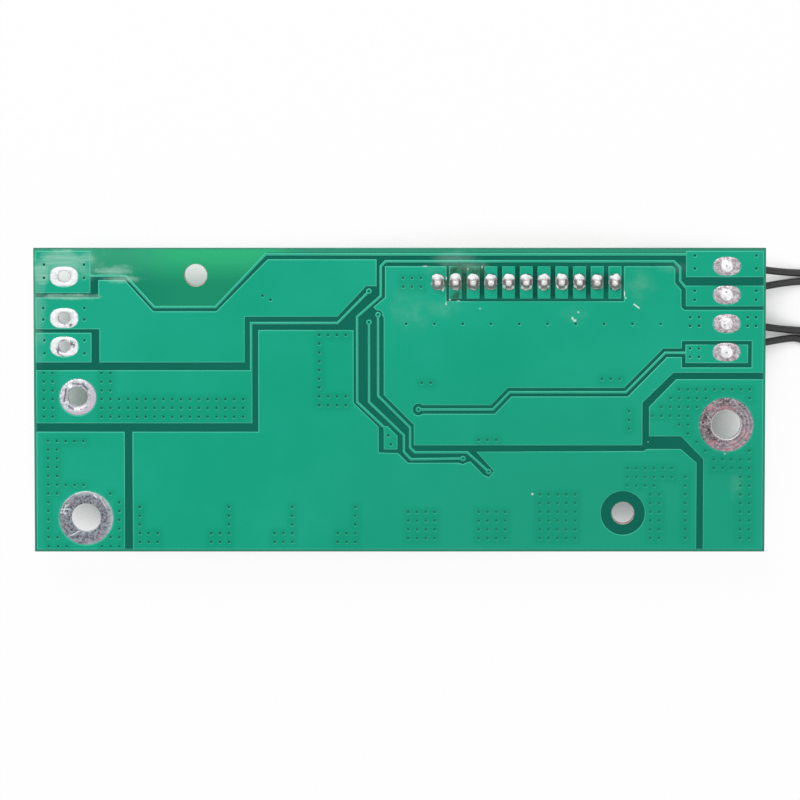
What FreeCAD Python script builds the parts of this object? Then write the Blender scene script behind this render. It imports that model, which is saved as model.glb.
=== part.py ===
import FreeCAD, Part
import math
import os
import re
import Sketcher

# Battery management board for a ten-cell pack, lying with its component side down, so that
# the solder side faces up. X runs along the board, Y across it and Z up. The origin is at the
# middle of the board, on the surface under the rim of the balance header.

V = FreeCAD.Vector

SIZES = {
    # laminate and copper
    "board_length": 105,
    "board_width": 43.8,
    "board_thickness": 1.6,
    "copper_thickness": 0.1,
    "edge_pullback": 0.3,
    "trace_width": 0.36,
    "trace_clearance": 0.42,
    "trace_via_diameter": 0.8,
    # screw holes
    "screw_hole_diameter": 3.2,
    "screw_clear_diameter": 6.3,
    "upper_screw_from_left": 23.3,
    "upper_screw_from_top": 3.8,
    "lower_screw_from_right": 20.4,
    "lower_screw_from_bottom": 5.6,
    # round lands for the power wires
    "power_bore_diameter": 4.2,
    "power_land_diameter": 7.8,
    "charge_bore_diameter": 3.2,
    "charge_land_diameter": 5.3,
    "barrel_wall": 0.2,
    "solder_thickness": 0.14,
    "battery_land_from_left": 7.4,
    "battery_land_from_bottom": 4.9,
    "pack_land_from_right": 5.6,
    "pack_land_from_top": 25.4,
    "charge_land_from_left": 6.3,
    "charge_land_from_top": 21.4,
    # oval terminals at the left end
    "left_oval_length": 4.0,
    "left_oval_width": 2.9,
    "left_bore_diameter": 1.7,
    "left_oval_from_left": 4.4,
    "left_oval_one_from_top": 4.0,
    "left_oval_two_from_top": 10.0,
    "left_oval_three_from_top": 14.1,
    # oval lead joints at the right end
    "right_oval_length": 3.9,
    "right_oval_width": 2.7,
    "right_mound_height": 0.5,
    "right_mound_slope": 0.45,
    "right_mound_top": 1.4,
    "right_oval_from_right": 5.6,
    "right_oval_from_top": 2.5,
    "right_oval_pitch": 4.13,
    "lead_hole_diameter": 1.3,
    "strand_diameter": 0.6,
    "strand_length": 0.9,
    # balance header
    "pin_count": 11,
    "pin_pitch": 2.54,
    "pin_width": 0.64,
    "pin_tip_taper": 0.16,
    "pin_above_board": 1.25,
    "pin_recess": 0.9,
    "pin_hole_diameter": 1.0,
    "last_pin_from_right": 21.65,
    "pin_row_from_top": 4.75,
    "header_height": 7.0,
    "header_depth": 5.75,
    "header_end_margin": 2.45,
    "header_row_setback": 2.35,
    "header_wall": 0.85,
    "header_base": 2.4,
    "header_slot_width": 2.2,
    "header_slot_depth": 3.2,
    "joint_oval_length": 2.4,
    "joint_oval_width": 1.85,
    "joint_waist": 1.15,
    "joint_neck": 0.96,
    "joint_height": 1.05,
    "pin_land_width": 1.87,
    "pin_land_length": 4.7,
    "pin_land_gap": 0.35,
    # switching transistors
    "mosfet_width": 6.6,
    "mosfet_length": 6.1,
    "mosfet_height": 2.3,
    "mosfet_tab_width": 5.3,
    "mosfet_tab_thickness": 0.55,
    "mosfet_tab_reach": 1.1,
    "mosfet_lead_pitch": 4.58,
    "mosfet_lead_width": 0.8,
    "mosfet_lead_reach": 2.7,
    "mosfet_from_left": 21.6,
    "mosfet_pitch": 9.7,
    "mosfet_from_bottom": 4.3,
    "charge_mosfet_from_right": 60.5,
    "charge_mosfet_pitch": 8.5,
    "charge_mosfet_from_top": 19.2,
    # current shunts
    "shunt_length": 6.4,
    "shunt_width": 3.2,
    "shunt_height": 0.8,
    "shunt_from_left": 14.3,
    "shunt_from_bottom": 8.6,
    "shunt_pitch": 3.55,
    # one balancing cell circuit per cell
    "cell_pitch": 4.054,
    "last_cell_from_right": 15.0,
    "bleed_length": 6.4,
    "bleed_width": 3.2,
    "bleed_height": 0.6,
    "bleed_from_top": 15.8,
    "monitor_length": 2.9,
    "monitor_width": 1.6,
    "monitor_height": 1.1,
    "monitor_lead_pitch": 0.95,
    "monitor_from_top": 10.3,
    "small_chip_length": 1.6,
    "small_chip_width": 0.8,
    "small_chip_height": 0.5,
    "filter_row_from_top": 20.5,
    "gate_row_from_bottom": 15.4,
    # controller
    "controller_length": 9.7,
    "controller_width": 4.4,
    "controller_height": 1.1,
    "controller_lead_pitch": 0.65,
    "controller_leads_a_side": 14,
    "controller_from_right": 26,
    "controller_from_top": 25.3,
    "gull_lead_reach": 1.0,
    "gull_lead_foot": 0.5,
    "gull_lead_thickness": 0.15,
    "gull_lead_width": 0.3,
    "mould_taper": 6,
    "mould_standoff": 0.05,
    # thermistor leads
    "lead_diameter": 1.05,
    "lead_spacing": 1.1,
    "coil_from_edge": 16,
    "coil_one_from_middle": 11.0,
    "coil_two_from_middle": -3.6,
    "coil_middle_radius": 6.0,
    "coil_height": 2.15,
    "bead_length": 5.0,
    "bead_diameter": 2.6,
    "bead_shoulder_diameter": 2.2,
    "bead_tip_diameter": 1.2,
}

# In the copper's outlines a number from 0 up is measured from the left or bottom edge of the
# board, and one below 0 from the right or top edge. What lies nearer to an edge than the
# pullback is set back to it, so 0 and FAR mean at the edge.
FAR = -0.1

BALANCE_CELLS = 10
MOSFETS_IN_ROW = 6
CHARGE_MOSFETS = 2
SHUNTS = 3

doc = FreeCAD.newDocument("battery_management_board")
sheet = doc.addObject("Spreadsheet::Sheet", "Sizes")
for row, (alias, value) in enumerate(SIZES.items(), start=1):
    sheet.set(f"A{row}", alias)
    sheet.set(f"B{row}", str(value))
    sheet.setAlias(f"B{row}", alias)
doc.recompute()

nodes = []


def size(alias):
    """The number that the sheet holds for a size."""
    return float(sheet.get(alias))


def from_sheet(formula):
    """The same formula with each size's name pointing at its cell."""
    return re.sub(r"[a-z][a-z_]+", lambda word: "Sizes." + word[0] if word[0] in SIZES else word[0],
                  str(formula))


def bind(item, **formulas):
    """Bind properties of an object to formulas of the sheet's sizes."""
    for name, formula in formulas.items():
        item.setExpression(name, from_sheet(formula))
    return item


def place(item, x=0, y=0, z=0, turn=FreeCAD.Rotation()):
    """Put an object at a place worked out from the sheet."""
    item.Placement = FreeCAD.Placement(V(), turn)
    for axis, formula in (("x", x), ("y", y), ("z", z)):
        item.setExpression(f"Placement.Base.{axis}", from_sheet(formula))
    return item


def node(item, label):
    """Keep an object as a sub-part under its own name."""
    item.Label = label
    nodes.append(item)
    return item


# Places on the board, as formulas

LEFT = "-board_length / 2"
RIGHT = "board_length / 2"
BOTTOM = "-board_width / 2"
TOP = "board_width / 2"
UNDERSIDE = "header_height"
TOPSIDE = "(header_height + board_thickness)"
PART_SEAT = "(header_height - copper_thickness)"
FIRST_PIN = f"({RIGHT} - last_pin_from_right - (pin_count - 1) * pin_pitch)"
PIN_ROW = f"({TOP} - pin_row_from_top)"
FACE_DOWN = FreeCAD.Rotation(V(0, 1, 0), 180)
FACE_DOWN_ALONG_Y = FreeCAD.Rotation(V(0, 0, 1), 90).multiply(FACE_DOWN)


# Solids made from primitives, profiles and patterns

def box(name, length, width, height, x=0, y=0, z=0):
    """A box centred on x and y, standing on z."""
    item = bind(doc.addObject("Part::Box", name), Length=length, Width=width, Height=height)
    return place(item, f"{x} - ({length}) / 2", f"{y} - ({width}) / 2", z)


def cylinder(name, diameter, height, x=0, y=0, z=0):
    """An upright cylinder standing on z."""
    item = bind(doc.addObject("Part::Cylinder", name), Radius=f"({diameter}) / 2", Height=height)
    return place(item, x, y, z)


def oval_edge(name, length, width, z=0):
    """An ellipse on the Z axis."""
    edge = doc.addObject("Part::Ellipse", name)
    bind(edge, MajorRadius=f"({length}) / 2", MinorRadius=f"({width}) / 2")
    return place(edge, 0, 0, z)


def mound(name, sections):
    """A solid with straight sides from each section up to the next."""
    item = doc.addObject("Part::Loft", name)
    item.Sections = sections
    item.Solid = True
    item.Ruled = True
    return item


def oval_plate(name, length, width, height, z=0):
    """A flat elliptical plate on the Z axis."""
    plate = doc.addObject("Part::Extrusion", name)
    plate.Base = oval_edge(name + "_edge", length, width)
    plate.DirMode = "Custom"
    plate.Dir = V(0, 0, 1)
    plate.Solid = True
    bind(plate, LengthFwd=height)
    return place(plate, 0, 0, z)


def fuse(name, pieces):
    """One solid from pieces that meet."""
    item = doc.addObject("Part::MultiFuse", name)
    item.Shapes = pieces
    item.Refine = True
    return item


def cut(name, base, tool):
    """What is left of a base when a tool is cut away."""
    item = doc.addObject("Part::Cut", name)
    item.Base = base
    item.Tool = tool
    return item


def group(name, pieces):
    """Separate solids kept as one object."""
    item = doc.addObject("Part::Compound", name)
    item.Links = pieces
    return item


def plane(body, role):
    """One of the origin planes or axes of a body."""
    return [item for item in body.Origin.OriginFeatures if item.Role == role][0]


def new_body(name):
    """A body that may hold several separate solids."""
    body = doc.addObject("PartDesign::Body", name)
    body.AllowCompound = True
    return body


def sketch_on(body, name, role="XY_Plane"):
    """An empty sketch on one of the body's origin planes."""
    sketch = body.newObject("Sketcher::SketchObject", name)
    sketch.AttachmentSupport = [(plane(body, role), "")]
    sketch.MapMode = "FlatFace"
    return sketch


def pin_point(sketch, geometry, vertex, x, y):
    """Fix a point of the sketch at distances from its origin."""
    for kind, formula in (("DistanceX", x), ("DistanceY", y)):
        number = sketch.addConstraint(Sketcher.Constraint(kind, -1, 1, geometry, vertex, 1.0))
        sketch.setExpression(f"Constraints[{number}]", from_sheet(formula))


def outline(sketch, corners):
    """A closed outline of straight lines, drawn on a circle and pulled to its corners."""
    first = sketch.GeometryCount
    count = len(corners)
    angles = [2 * math.pi * step / count for step in range(count + 1)]
    spots = [V(math.cos(angle), math.sin(angle), 0) for angle in angles]
    for start, end in zip(spots, spots[1:]):
        sketch.addGeometry(Part.LineSegment(start, end), False)
    for step, (x, y) in enumerate(corners):
        following = first + (step + 1) % count
        sketch.addConstraint(Sketcher.Constraint("Coincident", first + step, 2, following, 1))
        pin_point(sketch, first + step, 1, x, y)


def rectangle(sketch, length, width, x=0, y=0):
    """A rectangle centred on x and y."""
    low_x, high_x = f"{x} - ({length}) / 2", f"{x} + ({length}) / 2"
    low_y, high_y = f"{y} - ({width}) / 2", f"{y} + ({width}) / 2"
    outline(sketch, [(low_x, low_y), (high_x, low_y), (high_x, high_y), (low_x, high_y)])


def circle(sketch, diameter, x, y):
    """A circle centred on x and y."""
    number = sketch.addGeometry(Part.Circle(V(1, 1, 0), V(0, 0, 1), 1), False)
    pin_point(sketch, number, 3, x, y)
    width = sketch.addConstraint(Sketcher.Constraint("Diameter", number, 2.0))
    sketch.setExpression(f"Constraints[{width}]", from_sheet(diameter))


def pad(body, sketch, length, middle=False, taper=None):
    """Material on a sketch, along the sketch's normal or to both sides of it."""
    feature = body.newObject("PartDesign::Pad", sketch.Name + "_pad")
    feature.Profile = sketch
    feature.Midplane = middle
    bind(feature, Length=length)
    if taper:
        bind(feature, TaperAngle=f"-{taper}")
    return feature


def pocket(body, sketch, depth=None):
    """A hole along the sketch's normal into the solid above it, right through or to a depth."""
    feature = body.newObject("PartDesign::Pocket", sketch.Name + "_pocket")
    feature.Profile = sketch
    feature.Reversed = True
    if depth:
        bind(feature, Length=depth)
    else:
        feature.Type = "ThroughAll"
    return feature


def row_of(body, feature, count, pitch):
    """Repeat a feature along X and make the row the body's tip."""
    row = body.newObject("PartDesign::LinearPattern", feature.Name + "_row")
    row.Originals = [feature]
    row.Direction = (plane(body, "X_Axis"), [""])
    row.Mode = "Spacing"
    bind(row, Occurrences=count, Offset=pitch)
    body.Tip = row
    return row


# Circuit board

def circuit_board():
    """The bare laminate with every hole that is drilled in it."""
    body = new_body("circuit_board")
    sheet_outline = sketch_on(body, "board_outline")
    rectangle(sheet_outline, "board_length", "board_width")
    pad(body, sheet_outline, "board_thickness")
    holes = sketch_on(body, "drilled_holes")
    circle(holes, "screw_hole_diameter", *UPPER_SCREW)
    circle(holes, "screw_hole_diameter", *LOWER_SCREW)
    circle(holes, "power_bore_diameter + 2 * barrel_wall", *BATTERY_LAND)
    circle(holes, "power_bore_diameter + 2 * barrel_wall", *PACK_LAND)
    circle(holes, "charge_bore_diameter + 2 * barrel_wall", *CHARGE_LAND)
    for spot in LEFT_OVALS:
        circle(holes, "left_bore_diameter + 2 * barrel_wall", *spot)
    for spot in RIGHT_OVALS:
        circle(holes, "lead_hole_diameter", *spot)
    pocket(body, holes)
    doc.recompute()
    pin_hole = sketch_on(body, "pin_hole")
    circle(pin_hole, "pin_hole_diameter", FIRST_PIN, PIN_ROW)
    row_of(body, pocket(body, pin_hole), "pin_count", "pin_pitch")
    return node(place(body, 0, 0, UNDERSIDE), "circuit_board")


UPPER_SCREW = (f"{LEFT} + upper_screw_from_left", f"{TOP} - upper_screw_from_top")
LOWER_SCREW = (f"{RIGHT} - lower_screw_from_right", f"{BOTTOM} + lower_screw_from_bottom")
BATTERY_LAND = (f"{LEFT} + battery_land_from_left", f"{BOTTOM} + battery_land_from_bottom")
PACK_LAND = (f"{RIGHT} - pack_land_from_right", f"{TOP} - pack_land_from_top")
CHARGE_LAND = (f"{LEFT} + charge_land_from_left", f"{TOP} - charge_land_from_top")
LEFT_OVALS = [(f"{LEFT} + left_oval_from_left", f"{TOP} - left_oval_{count}_from_top")
              for count in ("one", "two", "three")]
RIGHT_OVALS = [(f"{RIGHT} - right_oval_from_right",
                f"{TOP} - right_oval_from_top - {step} * right_oval_pitch") for step in range(4)]


# Lands, terminals and solder joints

def round_land(label, bore, land, spot):
    """A plated and tinned hole: a barrel through the board with a flat ring on each face."""
    body = new_body(label)
    profile = sketch_on(body, label + "_profile", "XZ_Plane")
    hole, rim, wall = f"{bore} / 2", f"{land} / 2", f"{bore} / 2 + barrel_wall"
    skin, deep = "solder_thickness", "board_thickness"
    outline(profile, [(hole, f"-{skin}"), (rim, f"-{skin}"), (rim, "0"), (wall, "0"),
                      (wall, deep), (rim, deep), (rim, f"{deep} + {skin}"),
                      (hole, f"{deep} + {skin}")])
    turned = body.newObject("PartDesign::Revolution", label + "_turned")
    turned.Profile = profile
    turned.ReferenceAxis = (profile, ["V_Axis"])
    turned.Angle = 360
    return node(place(body, *spot, UNDERSIDE), label)


def left_terminal(number, spot):
    """An oval tinned land with an open plated hole, for one cell's sense wire."""
    name = f"left_terminal_{number}"
    faces = [oval_plate(f"{name}_{side}", "left_oval_length", "left_oval_width",
                        "solder_thickness", z)
             for side, z in (("back", "-solder_thickness"), ("front", "board_thickness"))]
    barrel = cylinder(name + "_barrel", "left_bore_diameter + 2 * barrel_wall", "board_thickness")
    solid = fuse(name + "_solid", faces + [barrel])
    bore = cylinder(name + "_bore", "left_bore_diameter",
                    "board_thickness + 4 * solder_thickness", 0, 0, "-2 * solder_thickness")
    return node(place(cut(name, solid, bore), *spot, UNDERSIDE), name)


def lead_joint(number, spot):
    """A solder-filled oval land with a domed top, and the bare strands of a lead below it."""
    name = f"lead_joint_{number}"
    shoulder = "2 * right_mound_slope"
    dome = mound(name + "_dome", [
        oval_edge(name + "_rim", "right_oval_length", "right_oval_width", "board_thickness"),
        oval_edge(name + "_shoulder", f"right_oval_length - {shoulder}",
                  f"right_oval_width - {shoulder}", "board_thickness + right_mound_height / 2"),
        oval_edge(name + "_top", "right_mound_top", "right_mound_top",
                  "board_thickness + right_mound_height")])
    filled_hole = cylinder(name + "_fill", "lead_hole_diameter", "board_thickness")
    back = oval_plate(name + "_back", "right_oval_length", "right_oval_width",
                      "solder_thickness", "-solder_thickness")
    strands = cylinder(name + "_strands", "strand_diameter", "strand_length",
                       0, 0, "-strand_length")
    joint = fuse(name, [dome, filled_hole, back, strands])
    return node(place(joint, *spot, UNDERSIDE), name)


def header_joints():
    """Solder round every header pin: an oval foot that draws in to a neck round the pin."""
    land_top = "board_thickness + copper_thickness"
    foot = oval_edge("joint_foot", "joint_oval_length", "joint_oval_width", land_top)
    waist = oval_edge("joint_waist_edge", "joint_waist", "joint_waist",
                      f"{land_top} + joint_height / 2")
    neck = oval_edge("joint_neck_edge", "joint_neck", "joint_neck", f"{land_top} + joint_height")
    for edge in (foot, waist, neck):
        edge.Placement.Rotation = FreeCAD.Rotation(V(0, 0, 1), 90)
    solid = mound("joint_solid", [foot, waist, neck])
    pin_space = box("joint_pin_space", "pin_width", "pin_width",
                    "board_thickness + 2 * joint_height", 0, 0, "-joint_height / 2")
    joint = cut("one_joint", solid, pin_space)
    row = [place(group(f"joint_copy_{step + 1}", [joint]), f"{FIRST_PIN} + {step} * pin_pitch",
                 PIN_ROW, UNDERSIDE) for step in range(int(size("pin_count")))]
    return node(group("header_joints", row), "header_joints")


# Balance header

def header_pins():
    """Square pins with tapered tips, from inside the shroud to above the solder."""
    body = new_body("header_pins")
    section = sketch_on(body, "pin_section")
    rectangle(section, "pin_width", "pin_width", FIRST_PIN, PIN_ROW)
    shaft = pad(body, section, "header_height - pin_recess + board_thickness + pin_above_board")
    doc.recompute()
    tips = body.newObject("PartDesign::Chamfer", "pin_tips")
    ends = [f"Face{number}" for number, face in enumerate(shaft.Shape.Faces, start=1)
            if abs(face.normalAt(0, 0).z) > 0.9]
    tips.Base = (shaft, ends)
    bind(tips, Size="pin_tip_taper")
    doc.recompute()
    row = body.newObject("PartDesign::LinearPattern", "pin_row")
    row.Originals = [shaft, tips]
    row.Direction = (plane(body, "X_Axis"), [""])
    row.Mode = "Spacing"
    bind(row, Occurrences="pin_count", Offset="pin_pitch")
    body.Tip = row
    return node(place(body, 0, 0, "pin_recess"), "header_pins")


def header_housing():
    """The moulded shroud: a base on the board, walls round the pins and two keying slots."""
    body = new_body("header_housing")
    length = "((pin_count - 1) * pin_pitch + 2 * header_end_margin)"
    middle = f"({FIRST_PIN} + (pin_count - 1) * pin_pitch / 2)"
    front = f"({PIN_ROW} + header_row_setback)"
    centre_y = f"({front} - header_depth / 2)"
    block = sketch_on(body, "shroud_block")
    rectangle(block, length, "header_depth", middle, centre_y)
    pad(body, block, "header_height")
    doc.recompute()
    well = sketch_on(body, "plug_well")
    rectangle(well, f"{length} - 2 * header_wall", "header_depth - 2 * header_wall",
              middle, centre_y)
    pocket(body, well, "header_height - header_base")
    doc.recompute()
    slots = sketch_on(body, "keying_slots")
    for side in ("-", "+"):
        slot_x = f"{middle} {side} ({length} / 2 - header_end_margin - header_slot_width / 2)"
        rectangle(slots, "header_slot_width", "header_wall * 2", slot_x,
                  f"{front} - header_depth + header_wall / 2")
    pocket(body, slots, "header_slot_depth")
    doc.recompute()
    pin_hole = sketch_on(body, "housing_pin_hole")
    rectangle(pin_hole, "pin_width", "pin_width", FIRST_PIN, PIN_ROW)
    row_of(body, pocket(body, pin_hole), "pin_count", "pin_pitch")
    return node(place(body, 0, 0, 0), "header_housing")


# Packaged components, each modelled standing on its leads and then turned face down

def gull_lead(body, name, x, width, height, reach, foot, thickness, lead_width):
    """A gull-wing lead out of the mould's side at +Y, down to a flat foot at z = 0."""
    sketch = sketch_on(body, name, "YZ_Plane")
    sketch.setExpression("AttachmentOffset.Base.z", from_sheet(x))
    root, toe = f"{width} / 2 - {thickness}", f"{width} / 2 + {reach}"
    heel, shoulder = f"{toe} - {foot}", f"{width} / 2 + {reach} / 6"
    middle = f"{height} / 2"
    outline(sketch, [(toe, "0"), (toe, thickness), (f"{heel} + {thickness} / 2", thickness),
                     (f"{shoulder} + {thickness} / 2", f"{middle} + {thickness}"),
                     (root, f"{middle} + {thickness}"), (root, middle), (shoulder, middle),
                     (heel, "0")])
    return pad(body, sketch, lead_width, middle=True)


def moulded_block(body, name, length, width, height):
    """A moulded body with drafted sides, a little above the board."""
    sketch = sketch_on(body, name)
    sketch.setExpression("AttachmentOffset.Base.z", from_sheet("mould_standoff"))
    rectangle(sketch, length, width)
    return pad(body, sketch, f"{height} - mould_standoff", taper="mould_taper")


def gull_package(name, length, width, height, lead_pitch, count):
    """A moulded chip package with a row of gull-wing leads on each long side."""
    body = new_body(name)
    moulded_block(body, name + "_mould", length, width, height)
    doc.recompute()
    lead = gull_lead(body, name + "_lead", f"-({count} - 1) * {lead_pitch} / 2", width, height,
                     "gull_lead_reach", "gull_lead_foot", "gull_lead_thickness",
                     "gull_lead_width")
    doc.recompute()
    both_sides = body.newObject("PartDesign::MultiTransform", name + "_leads")
    both_sides.Originals = [lead]
    row = body.newObject("PartDesign::LinearPattern", name + "_row")
    row.Direction = (plane(body, "X_Axis"), [""])
    row.Mode = "Spacing"
    bind(row, Occurrences=count, Offset=lead_pitch)
    mirror = body.newObject("PartDesign::Mirrored", name + "_mirror")
    mirror.MirrorPlane = (plane(body, "XZ_Plane"), [""])
    both_sides.Transformations = [row, mirror]
    body.Tip = both_sides
    return body


def mosfet_package():
    """A power transistor: moulded body, metal tab under it and two leads opposite the tab."""
    body = new_body("mosfet_package")
    moulded_block(body, "mosfet_mould", "mosfet_width", "mosfet_length", "mosfet_height")
    tab = sketch_on(body, "mosfet_tab")
    rectangle(tab, "mosfet_tab_width", "mosfet_length / 2 + mosfet_tab_reach", "0",
              "-(mosfet_length / 2 + mosfet_tab_reach) / 2")
    pad(body, tab, "mosfet_tab_thickness")
    doc.recompute()
    lead = gull_lead(body, "mosfet_lead", "mosfet_lead_pitch / 2", "mosfet_length",
                     "mosfet_height", "mosfet_lead_reach", "mosfet_lead_reach / 2",
                     "mosfet_tab_thickness", "mosfet_lead_width")
    doc.recompute()
    pair = body.newObject("PartDesign::Mirrored", "mosfet_leads")
    pair.Originals = [lead]
    pair.MirrorPlane = (plane(body, "YZ_Plane"), [""])
    body.Tip = pair
    return body


def chip_resistor(name, length, width, height):
    """A flat chip with a raised metal cap at each end, from one profile."""
    body = new_body(name)
    profile = sketch_on(body, name + "_profile", "XZ_Plane")
    half, cap, step = f"{length} / 2", f"{length} / 2 - {length} / 8", f"{height} / 10"
    outline(profile, [(f"-{half}", "0"), (half, "0"), (half, height), (cap, height),
                      (cap, f"{height} - {step}"), (f"-({cap})", f"{height} - {step}"),
                      (f"-({cap})", height), (f"-{half}", height)])
    pad(body, profile, width, middle=True)
    return body


def copies(model, label, count, spot, turn=FACE_DOWN):
    """Copies of a component under the board, each a sub-part of its own."""
    for step in range(count):
        copy = group(f"{label}_{step + 1}", [model])
        x, y = spot(step)
        node(place(copy, x, y, PART_SEAT, turn), f"{label}_{step + 1}")


def cell_x(step):
    """The middle of one cell's balancing circuit."""
    return f"{RIGHT} - last_cell_from_right - {BALANCE_CELLS - 1 - step} * cell_pitch"


def small_chips(label, row_y, columns):
    """A row of small chips across the board's length, kept as one group."""
    model = chip_resistor(label + "_chip", "small_chip_length", "small_chip_width",
                          "small_chip_height")
    row = [place(group(f"{label}_{number}", [model]), x, row_y, PART_SEAT, FACE_DOWN_ALONG_Y)
           for number, x in enumerate(columns, start=1)]
    return node(group(label, row), label)


def components():
    """Everything that is soldered on the component side."""
    package = mosfet_package()
    copies(package, "mosfet", MOSFETS_IN_ROW, mosfet_spot)
    copies(package, "charge_mosfet", CHARGE_MOSFETS, charge_mosfet_spot)
    shunt = chip_resistor("shunt", "shunt_length", "shunt_width", "shunt_height")
    copies(shunt, "current_shunt", SHUNTS, shunt_spot)
    bleed = chip_resistor("bleed", "bleed_length", "bleed_width", "bleed_height")
    copies(bleed, "bleed_resistor", BALANCE_CELLS, bleed_spot, FACE_DOWN_ALONG_Y)
    monitor = gull_package("monitor", "monitor_length", "monitor_width", "monitor_height",
                           "monitor_lead_pitch", "3")
    copies(monitor, "balance_chip", BALANCE_CELLS, monitor_spot)
    controller = gull_package("controller", "controller_length", "controller_width",
                              "controller_height", "controller_lead_pitch",
                              "controller_leads_a_side")
    node(place(controller, f"{RIGHT} - controller_from_right", f"{TOP} - controller_from_top",
               PART_SEAT, FACE_DOWN), "protection_chip")
    small_chips("filter_chips", f"{TOP} - filter_row_from_top",
                [cell_x(step) for step in range(BALANCE_CELLS)])
    small_chips("gate_chips", f"{BOTTOM} + gate_row_from_bottom",
                [f"{mosfet_spot(step)[0]} + mosfet_width / 4" for step in range(MOSFETS_IN_ROW)])


def mosfet_spot(step):
    """The middle of a transistor's mould in the row along the bottom edge."""
    return (f"{LEFT} + mosfet_from_left + {step} * mosfet_pitch",
            f"{BOTTOM} + mosfet_from_bottom + mosfet_length / 2")


def charge_mosfet_spot(step):
    """The middle of a transistor's mould in the charge path."""
    return (f"{RIGHT} - charge_mosfet_from_right - {CHARGE_MOSFETS - 1 - step}"
            " * charge_mosfet_pitch", f"{TOP} - charge_mosfet_from_top")


def shunt_spot(step):
    """The middle of one of the parallel shunts."""
    return f"{LEFT} + shunt_from_left", f"{BOTTOM} + shunt_from_bottom + {step} * shunt_pitch"


def bleed_spot(step):
    """The middle of one cell's bleed resistor."""
    return cell_x(step), f"{TOP} - bleed_from_top"


def monitor_spot(step):
    """The middle of one cell's balancing chip."""
    return cell_x(step), f"{TOP} - monitor_from_top"


# Etched copper

def at(x, y):
    """A point given from the board's edges, kept back from them."""
    length, width, pullback = size("board_length"), size("board_width"), size("edge_pullback")
    x, y = (x if x >= 0 else length + x), (y if y >= 0 else width + y)
    return V(min(max(x, pullback), length - pullback) - length / 2,
             min(max(y, pullback), width - pullback) - width / 2, 0)


def area(corners, thickness):
    """A flat solid on z = 0 inside a closed outline of points."""
    loop = Part.makePolygon(corners + corners[:1])
    return Part.Face(loop).extrude(V(0, 0, thickness))


def strip(points, width, thickness):
    """A flat solid of even width that follows a line of points, with mitred corners."""
    runs = [(end - start).normalize() for start, end in zip(points, points[1:])]
    before = runs[:1] + runs
    after = runs + runs[-1:]
    left, right = [], []
    for point, arriving, leaving in zip(points, before, after):
        across = V(-arriving.y - leaving.y, arriving.x + leaving.x, 0)
        across = across * (width / 2 / (1 + arriving.dot(leaving)))
        left.append(point + across)
        right.append(point - across)
    return area(left + right[::-1], thickness)


def disc(x, y, diameter, thickness):
    """A flat round solid on z = 0."""
    return Part.makeCylinder(diameter / 2, thickness, V(x, y, 0))


def oval(x, y, length, width, thickness):
    """A flat elliptical solid on z = 0, long along X unless it is wider than long."""
    major, minor = max(length, width) / 2, min(length, width) / 2
    edge = Part.Ellipse(V(), major, minor).toShape()
    if width > length:
        edge.rotate(V(), V(0, 0, 1), 90)
    edge.translate(V(x, y, 0))
    return Part.Face(Part.Wire(edge)).extrude(V(0, 0, thickness))


def pin_x(step):
    """Where a header pin stands along X."""
    last = size("board_length") / 2 - size("last_pin_from_right")
    return last - (size("pin_count") - 1 - step) * size("pin_pitch")


def drawn(corners, thickness):
    """A pour whose corners are given from the board's edges."""
    return area([at(x, y) for x, y in corners], thickness)


def trace(points, thickness, extra=0.0):
    """A trace of the usual width along points given from the edges, or wider to clear one."""
    return strip([at(x, y) for x, y in points], size("trace_width") + 2 * extra, thickness)


def via_land(x, y, thickness, extra=0.0):
    """A small round land at the end of a trace."""
    spot = at(x, y)
    return disc(spot.x, spot.y, size("trace_via_diameter") + 2 * extra, thickness)


# Centre lines of the long traces, from the board's edges
UPPER_LINK = [(8, -3.9), (13.2, -3.9), (17.3, -8.4), (26.1, -8.4), (33.3, -0.8), (-11, -0.8)]
CHARGE_SENSE = [(31.2, -24.8), (31.2, -10.7), (-61.4, -10.7), (-56.9, -6.1)]
SECOND_SENSE = [(-11, -6.2), (-12.3, -4.6), (-12.3, -2.7), (-13.2, -1.8), (-54.5, -1.8),
                (-55.2, -2.5), (-55.2, -6.8), (-58.6, -9.8), (-58.6, -22.1), (-54.6, -25.9)]
DRIVE_ONE = [(-55.6, -9.5), (-55.6, -21.2), (-51, -25.8), (-51, -28.7), (-50.3, -29.4),
             (-42.8, -29.4), (-39.7, -32.2)]
DRIVE_TWO = [(-56.9, -10.6), (-56.9, -22.1), (-51.9, -26.9), (-51.9, -29.3), (-50.9, -30.4),
             (-43.4, -30.3)]
FOURTH_SENSE = [(-11, -15), (-14.4, -15), (-20, -20.7), (-36.7, -20.7), (-39.1, -23.2), (-49.8, -23.2)]
FOURTH_BLOCK = [(-11.5, -13.8), (-2.5, -13.8), (-2.5, -16.5), (-11.5, -16.5)]
FOURTH_ISLAND = [(-12, -13.3), (-2, -13.3), (-2, -17.1), (-12, -17.1)]


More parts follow.
